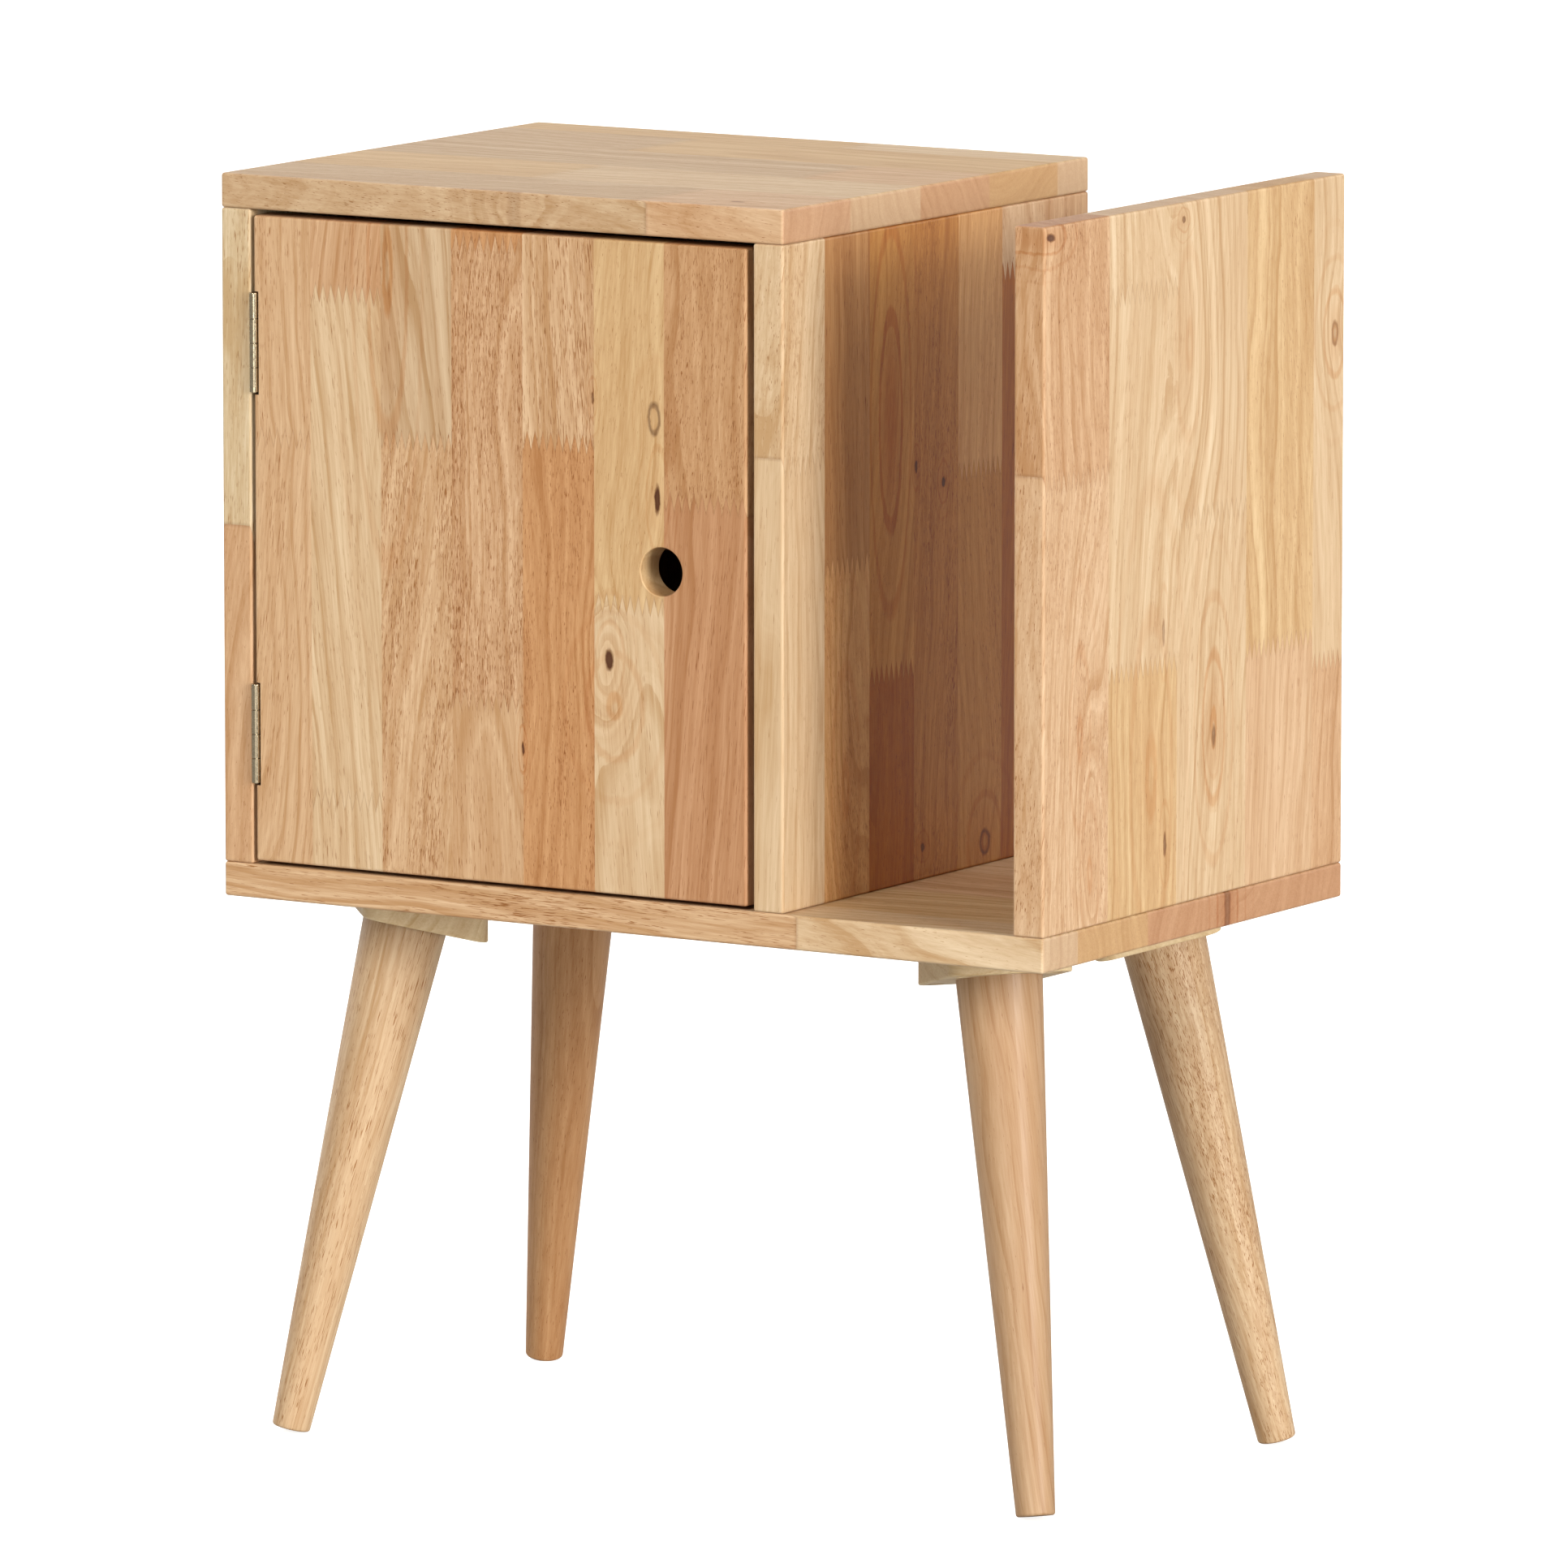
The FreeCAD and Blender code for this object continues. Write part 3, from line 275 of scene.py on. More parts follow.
# The grain of one piece of rubberwood. The eye sees soft streaks that follow the growth rings, finer
# fibres between them, and short brown pores that gather in some staves and are missing in others.
def rubberwood_grain(wood):
    tree, given, out = new_group(
        "rubberwood_grain",
        {"Spot": "Vector", "Seed": "Vector", "Tone": "Color", "Pores": "Float", "Swell": "Float"},
        {"Colour": "Color", "Roughness": "Float", "Height": "Float"})
    seed = add(tree, "SeparateXYZ", (0, given["Seed"])).outputs
    leaned, own = leaning_spot(tree, given, seed)
    ring = ring_count(tree, given, seed, leaned, own, wood.ring_spacing / MM)
    # Broad and fine bands run with the rings
    broad = add(tree, "TexNoise", ("W", ring), ("Scale", 0.7), noise_dimensions="1D").outputs[0]
    bands = add(tree, "TexNoise", ("W", ring), ("Scale", 2), ("Detail", 5), ("Roughness", 0.65),
                noise_dimensions="1D").outputs[0]
    # A thin darker line ends each ring, faint in places and firm where a knot swells it
    edge = add(tree, "Math", (0, ring), operation="FRACT").outputs[0]
    rim = add(tree, "MapRange", (0, edge), (1, 0.6), (2, 0.96), interpolation_type="SMOOTHSTEP").outputs[0]
    patch = stretched_noise(tree, own, PATCHES, 3, 0.55)[0]
    fade = add(tree, "MapRange", (0, patch), (1, 0.62), (2, 0.38)).outputs[0]
    firm = add(tree, "Math", (0, given["Swell"]), (1, 0.02), (2, fade), operation="MULTIPLY_ADD",
               use_clamp=True).outputs[0]
    line = add(tree, "Math", (0, rim), (1, firm), operation="MULTIPLY").outputs[0]
    streaks = stretched_noise(tree, own, STREAKS, 4, 0.7, 0.3)[0]
    across = MM / wood.fibre_width
    fibres = stretched_noise(tree, own, (across / FIBRE_STRETCH, across, across), 3, 0.6, 0.15)[0]
    # Bands, streaks and fibres darken the tone towards orange brown, the more so in coarse pieces
    shade = -1.175
    for layer, depth in ((bands, 0.75), (streaks, 0.85), (fibres, 0.75)):
        shade = add(tree, "Math", (0, layer), (1, depth), (2, shade), operation="MULTIPLY_ADD").outputs[0]
    coarse = add(tree, "MapRange", (0, given["Pores"]), (3, 0.3), (4, 0.74)).outputs[0]
    figure = add(tree, "Math", (0, broad), (1, 0.36), (2, -0.18), operation="MULTIPLY_ADD").outputs[0]
    ringed = add(tree, "Math", (0, shade), (1, coarse), (2, figure), operation="MULTIPLY_ADD").outputs[0]
    lined = add(tree, "Math", (0, line), (1, -0.13), (2, ringed), operation="MULTIPLY_ADD").outputs[0]
    light = add(tree, "MapRange", (0, lined), (1, -0.19), (2, 0.18)).outputs[0]
    dyed = add(tree, "Mix", ("Factor", light), (6, opaque(DARK_DYE)), (7, opaque(LIGHT_DYE)),
               data_type="RGBA").outputs[2]
    toned = add(tree, "VectorMath", (0, given["Tone"]), (1, dyed), operation="MULTIPLY").outputs[0]
    # Patches drift from pale to warm
    drift = add(tree, "MapRange", (0, patch), (1, 0.36), (2, 0.66)).outputs[0]
    cast = add(tree, "Mix", ("Factor", drift), (6, opaque(PALE_CAST)), (7, opaque(WARM_CAST)),
               data_type="RGBA").outputs[2]
    cast_tone = add(tree, "VectorMath", (0, toned), (1, cast), operation="MULTIPLY").outputs[0]
    pores = open_pores(tree, given, own, patch, bands, wood)
    colour = stained(tree, cast_tone, pores, PORE_STAIN)
    rough = add(tree, "MapRange", (0, fibres), (1, 0.3), (2, 0.7), (3, 0.5), (4, 0.42)).outputs[0]
    raised = add(tree, "Math", (0, fibres), (1, 0.25), operation="MULTIPLY").outputs[0]
    height = add(tree, "Math", (0, raised), (1, pores), operation="SUBTRACT").outputs[0]
    for socket, value in (("Colour", colour), ("Roughness", rough), ("Height", height)):
        tree.links.new(value, out.inputs[socket])
    return tree


# A knot: the rings swell around it, its halo is browner, and its heart is dark and often split
def knot_mark():
    tree, given, out = new_group(
        "knot",
        {"Spot": "Vector", "Centre": "Vector", "Radius": "Float", "Stretch": "Float", "Swell": "Float",
         "Hollow": "Float"},
        {"Swell": "Float", "Heart": "Float", "Halo": "Float"})
    away = add(tree, "VectorMath", (0, given["Spot"]), (1, given["Centre"]), operation="SUBTRACT").outputs[0]
    # Its outline wanders by a few millimetres
    bend = add(tree, "TexNoise", ("Vector", given["Spot"]), ("Scale", 0.12), ("Detail", 4),
               ("Roughness", 0.6)).outputs["Color"]
    bent = add(tree, "VectorMath", (0, bend), (1, (6, 2.4, 0)), (2, away),
               operation="MULTIPLY_ADD").outputs[0]
    part = add(tree, "SeparateXYZ", (0, bent)).outputs
    along = add(tree, "Math", (0, part[0]), (1, given["Stretch"]), operation="DIVIDE").outputs[0]
    far = add(tree, "VectorMath", (0, add(tree, "CombineXYZ", (0, along), (1, part[1])).outputs[0]),
              operation="LENGTH").outputs["Value"]
    share = add(tree, "Math", (0, far), (1, given["Radius"]), operation="DIVIDE").outputs[0]
    # The swelling dies away like a bell, to nearly nothing at twelve radii
    fall = add(tree, "Math", (0, share), (1, share), operation="MULTIPLY").outputs[0]
    wide = add(tree, "Math", (0, fall), (1, -0.025), operation="MULTIPLY").outputs[0]
    bell = add(tree, "Math", (0, wide), operation="EXPONENT").outputs[0]
    swell = add(tree, "Math", (0, bell), (1, given["Swell"]), operation="MULTIPLY").outputs[0]
    # A ring mark is hollow: the wood inside its dark outline is sound
    disc = add(tree, "MapRange", (0, share), (1, 1.15), (2, 0.7)).outputs[0]
    sound = add(tree, "MapRange", (0, share), (1, 0.85), (2, 0.55)).outputs[0]
    bored = add(tree, "Math", (0, sound), (1, given["Hollow"]), operation="MULTIPLY").outputs[0]
    heart = add(tree, "Math", (0, disc), (1, bored), operation="SUBTRACT", use_clamp=True).outputs[0]
    # Brown lines ring the knot like the waves round a stone
    cloud = add(tree, "MapRange", (0, share), (1, 4), (2, 1), interpolation_type="SMOOTHSTEP").outputs[0]
    turn = add(tree, "Math", (0, share), (1, 2.3), operation="MULTIPLY").outputs[0]
    wave = add(tree, "Math", (0, turn), operation="SINE").outputs[0]
    crest = add(tree, "MapRange", (0, wave), (1, 0.6), (2, 0.95)).outputs[0]
    rings = add(tree, "Math", (0, crest), (1, bell), operation="MULTIPLY").outputs[0]
    halo = add(tree, "Math", (0, cloud), (1, 0.5), (2, rings), operation="MULTIPLY_ADD").outputs[0]
    for socket, value in (("Swell", swell), ("Heart", heart), ("Halo", halo)):
        tree.links.new(value, out.inputs[socket])
    return tree


def made_once(name, make, *settings):
    """A node group, made when it is first asked for."""
    return bpy.data.node_groups.get(name) or make(*settings)


def hard_steps(node, stops):
    """Sets the stops of a ramp's node, each a place and a colour with alpha, with a hard step at each."""
    node.color_ramp.interpolation = "CONSTANT"
    elements = node.color_ramp.elements
    while len(elements) < len(stops):
        elements.new(1)
    for element, (place, colour) in zip(elements, stops):
        element.position = place
        element.color = colour
    return node.outputs


def grain_spot(tree, low, axes):
    """Millimetres along the grain, across it and through the board, from the board's low corner."""
    coordinates = add(tree, "TexCoord").outputs["Object"]
    from_low = add(tree, "VectorMath", (0, coordinates), (1, low), operation="SUBTRACT").outputs[0]
    scaled = add(tree, "VectorMath", (0, from_low), ("Scale", 1 / MM), operation="SCALE").outputs[0]
    part = add(tree, "SeparateXYZ", (0, scaled)).outputs
    return add(tree, "CombineXYZ", *[(i, part[axis]) for i, axis in enumerate(axes)]).outputs[0]


# Satin lacquer, a little duller than a plain clear coat
GLOSS = ("Specular IOR Level", 0.35)
# A share of a board's length that lies past its end, for a joint that a stave doesn't have
NO_JOINT = 1.5
# How far a glue line reaches each side of its joint, in millimetres, and how much of its stain it takes
GLUE_WIDTH = 1.6
GLUE_STRENGTH = 0.35
# The square of a tone, times this, has a board's usual brightness and twice its contrast
END_LEVEL = (1.75, 2.55, 4.6)
END_CALM = 0.45


def stave_stops(staves, size, wood):
    """A board's ramps across its staves: a number and the places of two joints, and each level's tones."""
    starts = [0] + [stave.reach / size[1] for stave in staves[:-1]]
    joints, levels = [], [[], [], []]
    for index, (start, stave) in enumerate(zip(starts, staves)):
        ends = [piece.reach / size[0] for piece in stave.pieces[:-1]] + [NO_JOINT, NO_JOINT]
        joints.append((start, ((index + 0.5) / len(staves), ends[0], ends[1], 1)))
        for level, stops in enumerate(levels):
            piece = stave.pieces[min(level, len(stave.pieces) - 1)]
            stops.append((start, (*getattr(wood, piece.tone), piece.pores)))
    return joints, levels


def combed_share(tree, part, length, wood):
    """The share of a board's length at a place, shifted to and fro across it like the fingers of a joint."""
    comb = add(tree, "Math", (0, part[1]), (1, wood.finger_pitch / MM / 2), operation="PINGPONG").outputs[0]
    teeth = add(tree, "Math", (0, comb), (1, 2 * wood.finger_length / wood.finger_pitch), (2, part[0]),
                operation="MULTIPLY_ADD").outputs[0]
    combed = add(tree, "Math", (0, teeth), (1, wood.finger_length / MM / 2), operation="SUBTRACT").outputs[0]
    return add(tree, "Math", (0, combed), (1, length), operation="DIVIDE").outputs[0]


def glue_lines(tree, along, ends, length):
    """Thin brown glue lines, which follow the fingers where a joint isn't quite tight."""
    glue = 0
    for end in ends:
        gap = add(tree, "Math", (0, along), (1, end), operation="SUBTRACT").outputs[0]
        off = add(tree, "Math", (0, gap), operation="ABSOLUTE").outputs[0]
        near = add(tree, "MapRange", (0, off), (1, 0), (2, GLUE_WIDTH / length), (3, GLUE_STRENGTH),
                   (4, 0)).outputs[0]
        glue = add(tree, "Math", (0, near), (1, glue), operation="MAXIMUM").outputs[0]
    return glue


def knot_marks(tree, spot, knots):
    """How far a board's knots swell the rings, and how strong their hearts and their halos are."""
    swell, heart, halo = 0, 0, 0
    for knot in knots:
        mark = add(tree, "Group", ("Spot", spot), ("Centre", (knot.along, knot.across, 0)),
                   ("Radius", knot.radius), ("Stretch", knot.stretch), ("Swell", knot.swell),
                   ("Hollow", knot.hollow), node_tree=made_once("knot", knot_mark)).outputs
        brown = knot.dark if knot.cloud is None else knot.cloud
        swell = add(tree, "Math", (0, mark["Swell"]), (1, swell), operation="ADD").outputs[0]
        depth = add(tree, "Math", (0, mark["Heart"]), (1, knot.dark), operation="MULTIPLY").outputs[0]
        heart = add(tree, "Math", (0, depth), (1, heart), operation="MAXIMUM").outputs[0]
        cloud = add(tree, "Math", (0, mark["Halo"]), (1, brown), operation="MULTIPLY").outputs[0]
        halo = add(tree, "Math", (0, cloud), (1, halo), operation="MAXIMUM").outputs[0]
    return swell, heart, halo


def end_grain(tree, finish, tone, axis):
    """End grain drinks the lacquer: it is darker, its staves differ more, and its grain is calm."""
    facing = add(tree, "SeparateXYZ", (0, add(tree, "TexCoord").outputs["Normal"])).outputs
    square = add(tree, "Math", (0, facing[axis]), operation="ABSOLUTE").outputs[0]
    end = add(tree, "MapRange", (0, square), (1, 0.6), (2, 0.95)).outputs[0]
    finish = stained(tree, finish, end, END_STAIN)
    strong = add(tree, "VectorMath", (0, tone), (1, tone), operation="MULTIPLY").outputs[0]
    level = add(tree, "VectorMath", (0, strong), (1, END_LEVEL), operation="MULTIPLY").outputs[0]
    calm = add(tree, "Math", (0, end), (1, END_CALM), operation="MULTIPLY").outputs[0]
    return add(tree, "Mix", ("Factor", calm), (6, finish), (7, level), data_type="RGBA").outputs[2]


# Solid rubberwood, edge-glued from finger-jointed staves, planed, sanded and sprayed with a clear satin
# lacquer: each stave has its own tone and grain, the end joints show as a comb of fingers, and the
# lacquer gives a soft sheen that greys the surface at a low angle.
def board_material(node, axes, staves, knots, wood):
    name = f"rubberwood_{node}"
    material, tree, shader = new_material(name, GLOSS)
    low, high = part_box(node)
    size = [(high[axis] - low[axis]) / MM for axis in axes]
    spot = grain_spot(tree, low, axes)
    part = add(tree, "SeparateXYZ", (0, spot)).outputs
    across = add(tree, "Math", (0, part[1]), (1, size[1]), operation="DIVIDE").outputs[0]
    along = combed_share(tree, part, size[0], wood)
    joints, levels = stave_stops(staves, size, wood)
    joint = hard_steps(add(tree, "ValToRGB", (0, across)), joints)
    place = add(tree, "SeparateColor", (0, joint["Color"])).outputs
    # A stave has up to three pieces, and each joint that is passed changes to the next one
    tone = hard_steps(add(tree, "ValToRGB", (0, across)), levels[0])
    colour, pores, count = tone["Color"], tone["Alpha"], 0
    for end, stops in zip(place[1:], levels[1:]):
        past = add(tree, "Math", (0, along), (1, end), operation="GREATER_THAN").outputs[0]
        count = add(tree, "Math", (0, past), (1, count), operation="ADD").outputs[0]
        tone = hard_steps(add(tree, "ValToRGB", (0, across)), stops)
        colour = add(tree, "Mix", ("Factor", past), (6, colour), (7, tone["Color"]),
                     data_type="RGBA").outputs[2]
        pores = add(tree, "Mix", ("Factor", past), ("A", pores), ("B", tone["Alpha"])).outputs[0]
    # The stave's number, the piece's and the board's name draw where in the log a piece is cut
    draw = add(tree, "CombineXYZ", (0, place[0]), (1, count), (2, sum(map(ord, name)) / 7)).outputs[0]
    seed = add(tree, "TexWhiteNoise", ("Vector", draw)).outputs["Color"]
    swell, heart, halo = knot_marks(tree, spot, knots)
    grain = add(tree, "Group", ("Spot", spot), ("Seed", seed), ("Tone", colour), ("Pores", pores),
                ("Swell", swell), node_tree=made_once("rubberwood_grain", rubberwood_grain, wood)).outputs
    glue = glue_lines(tree, along, place[1:], size[0])
    finish = stained(tree, grain["Colour"], glue, GLUE_STAIN)
    finish = end_grain(tree, finish, colour, axes[0])
    finish = stained(tree, finish, halo, HALO_STAIN)
    finish = stained(tree, finish, heart, HEART_STAIN)
    lacquer(tree, shader, finish, grain)
    return material


def lacquer(tree, shader, colour, grain):
    """Clear satin lacquer over grained wood, sunk a little into its pores."""
    tree.links.new(colour, shader.inputs["Base Color"])
    tree.links.new(grain["Roughness"], shader.inputs["Roughness"])
    bump = add(tree, "Bump", ("Height", grain["Height"]), ("Strength", 0.35), ("Distance", 0.06 * MM))
    tree.links.new(bump.outputs["Normal"], shader.inputs["Normal"])


# The axes along a board's grain, across it and through the board
ALONG_Z_ACROSS_X = (2, 0, 1)
ALONG_Z_ACROSS_Y = (2, 1, 0)
ALONG_X_ACROSS_Y = (0, 1, 2)

# How each board is laid up from its low corner
DOOR = (
    Stave(35, (Piece("wheat", 0.45, 222), Piece("wheat", 0.5))),
    Stave(78, (Piece("cream", 0.4, 36), Piece("cream", 0.35, 299), Piece("tan", 0.4))),
    Stave(121, (Piece("wheat", 0.75, 226), Piece("sand", 0.35))),
    Stave(164.5, (Piece("wheat", 0.4, 94), Piece("tan", 0.85, 330), Piece("honey", 0.4))),
    Stave(207.5, (Piece("honey", 0.55, 231), Piece("wheat", 0.75))),
    Stave(250.5, (Piece("cream", 0.25, 150), Piece("straw", 0.25))),
    Stave(300, (Piece("rose", 0.4, 205), Piece("dun", 0.6))),
)
DOOR_KNOTS = (
    Knot(124, 219, 2.6, 2.2, 1.0, 22, 0, 0.5),
    Knot(100, 222, 5, 1.6, 0.0, 0, 0, 0.5),
    Knot(208, 248, 1.9, 4.2, 1.0, 8, 0, 0.5),
    Knot(250, 246, 3.8, 2.3, 1.0, 5, 1, 0.15),
    Knot(258, 209, 0.8, 4.0, 0.6, 2),
    Knot(74, 166, 0.8, 4.6, 0.9, 2),
    Knot(316, 84, 3.5, 7, 0.0, 14, 0, 0.7),
    Knot(40, 20, 5, 5, 0.0, 24),
    Knot(262, 146, 4, 4, 0.0, 18),
)
OUTER = (
    Stave(63, (Piece("blush", 0.5, 229), Piece("tan", 0.55))),
    Stave(132, (Piece("straw", 0.2, 126), Piece("cream", 0.3, 318), Piece("cream", 0.2))),
    Stave(202, (Piece("cream", 0.3, 198), Piece("cream", 0.2))),
    Stave(236.5, (Piece("blush", 0.3, 122), Piece("straw", 0.3))),
    Stave(271, (Piece("blush", 0.3, 122), Piece("straw", 0.35))),
    Stave(303, (Piece("tan", 0.45, 108), Piece("cream", 0.15))),
)
OUTER_KNOTS = (
    Knot(90, 171, 3.2, 3.5, 0.0, 8, 0, 0.9),
    Knot(86, 171, 2.1, 3, 0.55, 0, 0, 0.6),
    Knot(357, 7, 4.2, 0.6, 0.9, 6),
    Knot(281, 294, 3.4, 1.9, 0.7, 14, 0.7),
    Knot(354, 139, 1.8, 1.0, 0.6, 5),
    Knot(100, 37, 3, 4.5, 0.0, 26, 0, 0.45),
    Knot(30, 47, 2.6, 4, 0.0, 20, 0, 0.45),
    Knot(36, 122, 1.6, 4, 0.6, 8),
    Knot(145, 120, 1.4, 5, 0.4, 8),
    Knot(72, 108, 6, 4, 0.0, 0, 0, 0.45),
    Knot(290, 145, 4, 3.5, 0.0, 26, 0, 0.3),
    Knot(262, 186, 6, 3, 0.0, 20),
)
# The divider's staves past the lit front strip mix their own tones with painted shade: deeper, more
# saturated tones for the shade inside the slot.
DIVIDER = (
    Stave(40, (Piece("cream", 0.25, 228), Piece("cream", 0.5))),
    Stave(83, (Piece("russet", 0.55, 172), Piece("cedar", 0.5))),
    Stave(127, (Piece("umber", 0.4, 112), Piece("amber", 0.35))),
    Stave(170.5, (Piece("chestnut", 0.7),)),
    Stave(215, (Piece("amber", 0.5, 208), Piece("russet", 0.4))),
    Stave(258, (Piece("umber", 0.5, 308), Piece("blush", 0.4))),
    Stave(303, (Piece("wheat", 0.5, 90), Piece("tan", 0.4))),
)
DIVIDER_KNOTS = (
    Knot(15, 200, 5, 1.5, 1.0, 9, 0.9, 0.8),
    Knot(20, 138, 2.0, 1.2, 0.7, 4),
    Knot(208, 158, 1.6, 2.0, 0.9, 4),
    Knot(218, 131, 1.2, 3.0, 0.8, 3),
    Knot(245, 106, 3.2, 5, 0.0, 6, 0, 1.8),
    Knot(60, 62, 4, 4.5, 0.0, 26, 0, 0.5),
)
LEFT_SIDE = (
    Stave(38, (Piece("tan", 0.35, 172), Piece("pearl", 0.5))),
    Stave(81, (Piece("straw", 0.4, 60), Piece("tan", 0.5, 290), Piece("blush", 0.4))),
    Stave(124, (Piece("tan", 0.7, 205), Piece("cream", 0.4))),
    Stave(168, (Piece("blush", 0.4, 128), Piece("honey", 0.5, 318), Piece("tan", 0.5))),
    Stave(211, (Piece("cream", 0.4, 246), Piece("tan", 0.6))),
    Stave(255, (Piece("tan", 0.6, 84), Piece("straw", 0.4))),
    Stave(303, (Piece("honey", 0.4, 188), Piece("sand", 0.5))),
)
LEFT_SIDE_KNOTS = (
    Knot(246, 142, 2.0, 2.2, 0.8, 10),
    Knot(70, 232, 1.6, 2.4, 0.7, 6),
)
TOP = (
    Stave(64, (Piece("sand", 0.4, 255), Piece("blush", 0.3))),
    Stave(133, (Piece("straw", 0.25, 150), Piece("cream", 0.2))),
    Stave(202, (Piece("sand", 0.25, 268), Piece("wheat", 0.2))),
    Stave(271, (Piece("sand", 0.2, 120), Piece("straw", 0.2))),
    Stave(303, (Piece("straw", 0.2, 210), Piece("cream", 0.2))),
)
TOP_KNOTS = (
    Knot(183, 2, 3.0, 1.5, 0.15, 14),
    Knot(305, 22, 1.8, 2.4, 0.6, 5),
)
BASE = (
    Stave(34, (Piece("wheat", 0.75, 345), Piece("cream", 0.3))),
    Stave(103, (Piece("tan", 0.5, 300), Piece("straw", 0.4))),
    Stave(171, (Piece("straw", 0.4, 190), Piece("tan", 0.4))),
    Stave(240, (Piece("blush", 0.4, 410), Piece("tan", 0.4))),
    Stave(303, (Piece("tan", 0.5, 150), Piece("tan", 0.4))),
)
BASE_KNOTS = (
    Knot(499, 186, 3.0, 2.0, 0.45, 8, 0, 1.0),
)
BOARDS = {
    "top_panel": (ALONG_X_ACROSS_Y, TOP, TOP_KNOTS),
    "base_panel": (ALONG_X_ACROSS_Y, BASE, BASE_KNOTS),
    "left_side_panel": (ALONG_Z_ACROSS_Y, LEFT_SIDE, LEFT_SIDE_KNOTS),
    "divider_panel": (ALONG_Z_ACROSS_Y, DIVIDER, DIVIDER_KNOTS),
    "outer_panel": (ALONG_Z_ACROSS_Y, OUTER, OUTER_KNOTS),
}


class SIDETABLE_OT_boards(bpy.types.Operator):
    """Finishes the five boards of the carcass."""

    bl_idname = "side_table.boards"
    bl_label = "Boards"

    def execute(self, context):
        wood = context.scene.side_table_wood
        for node, (axes, staves, knots) in BOARDS.items():
            dress(node, board_material(node, axes, staves, knots, wood))
        return {"FINISHED"}


class SIDETABLE_OT_door(bpy.types.Operator):
    """Finishes the door."""

    bl_idname = "side_table.door"
    bl_label = "Door"

    def execute(self, context):
        wood = context.scene.side_table_wood
        dress("door", board_material("door", ALONG_Z_ACROSS_X, DOOR, DOOR_KNOTS, wood))
        return {"FINISHED"}


# Rubberwood in one piece, turned or sawn, under the same lacquer: a leg's rings run down it as long flames
def solid_material(node, start, turn, tone, pores, draw, swell, wood):
    material, tree, shader = new_material(f"rubberwood_{node}", GLOSS)
    coordinates = add(tree, "TexCoord").outputs["Object"]
    local = add(tree, "Mapping", ("Vector", coordinates), ("Location", start), ("Rotation", turn),
                vector_type="TEXTURE").outputs[0]
    spot = add(tree, "VectorMath", (0, local), ("Scale", 1 / MM), operation="SCALE").outputs[0]
    grain = add(tree, "Group", ("Spot", spot), ("Seed", draw), ("Tone", opaque(tone)), ("Pores", pores),
                ("Swell", swell), node_tree=made_once("rubberwood_grain", rubberwood_grain, wood)).outputs
    lacquer(tree, shader, grain["Colour"], grain)
    return material


# Each leg's tone, how many pores show, what part of the log it is cut from, and how firm its rings are
LEGS = {
    "front_left": ("sand", 0.5, (0.6, 0.3, 0.02), 0),
    "front_right": ("ash", 0.15, (0.1, 0.75, 0.105), 24),
    "back_left": ("bark", 0.35, (0.3, 0.6, 0.2), 0),
    "back_right": ("sand", 0.75, (0.8, 0.2, 0.15), 0),
}
# Farther than across a leg's end, and much less than its length
LEG_END = 50 * MM


def leg_axis(node):
    """The middle of a leg's top and of its foot, from its solid."""
    points = [vertex.co for vertex in NODES[node].data.vertices]
    ends = []
    for sign in (1, -1):
        extreme = max(points, key=lambda point: sign * point.z)
        near = [point for point in points if (point - extreme).length < LEG_END]
        ends.append(sum(near, Vector()) / len(near))
    return ends


class SIDETABLE_OT_legs(bpy.types.Operator):
    """Finishes the four turned legs."""

    bl_idname = "side_table.legs"
    bl_label = "Legs"

    def execute(self, context):
        wood = context.scene.side_table_wood
        for corner, (tone, pores, draw, firm) in LEGS.items():
            node = f"{corner}_leg"
            top, foot = leg_axis(node)
            turn = (foot - top).to_track_quat("X", "Z").to_euler()
            dress(node, solid_material(node, top, turn, getattr(wood, tone), pores, draw, firm, wood))
        return {"FINISHED"}


class SIDETABLE_OT_leg_blocks(bpy.types.Operator):
    """Finishes the wedge blocks that carry the legs."""

    bl_idname = "side_table.leg_blocks"
    bl_label = "Leg blocks"

    def execute(self, context):
        wood = context.scene.side_table_wood
        for index, corner in enumerate(LEGS):
            node = f"{corner}_leg_block"
            corner_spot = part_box(node)[0]
            draw = (0.5, 0.5, index / 9)
            dress(node, solid_material(node, corner_spot, (0, 0, 0), wood.ivory, 0, draw, 0, wood))
        return {"FINISHED"}


# Plywood: a rotary-cut face veneer, sanded and sealed, so the eye sees wide wandering figure without gloss
class SIDETABLE_OT_back_panel(bpy.types.Operator):
    """Finishes the plywood back."""

    bl_idname = "side_table.back_panel"
    bl_label = "Back panel"

    def execute(self, context):
        material, tree, shader = new_material("plywood_back", ("Roughness", 0.6))
        spot = grain_spot(tree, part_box("back_panel")[0], ALONG_Z_ACROSS_X)
        figure = stretched_noise(tree, spot, (0.004, 0.016, 0.2), 3, distortion=0.8)[0]
        bands = add(tree, "TexNoise", ("W", figure), ("Scale", 22), ("Detail", 3),
                    noise_dimensions="1D").outputs[0]
        fibres = stretched_noise(tree, spot, (0.03, 1, 1), 2)[0]
        mixed = add(tree, "Math", (0, bands), (1, fibres), operation="ADD").outputs[0]
        shade = add(tree, "MapRange", (0, mixed), (1, 0.7), (2, 1.3), (3, 0.82), (4, 1.1)).outputs[0]
        shaded(tree, shader, context.scene.side_table_hardware.plywood, shade)
        dress("back_panel", material)
        return {"FINISHED"}


def shaded(tree, shader, colour, shade):
    """Sets a shader's colour, made lighter and darker in places."""
    toned = add(tree, "VectorMath", (0, colour), ("Scale", shade), operation="SCALE").outputs[0]
    tree.links.new(toned, shader.inputs["Base Color"])


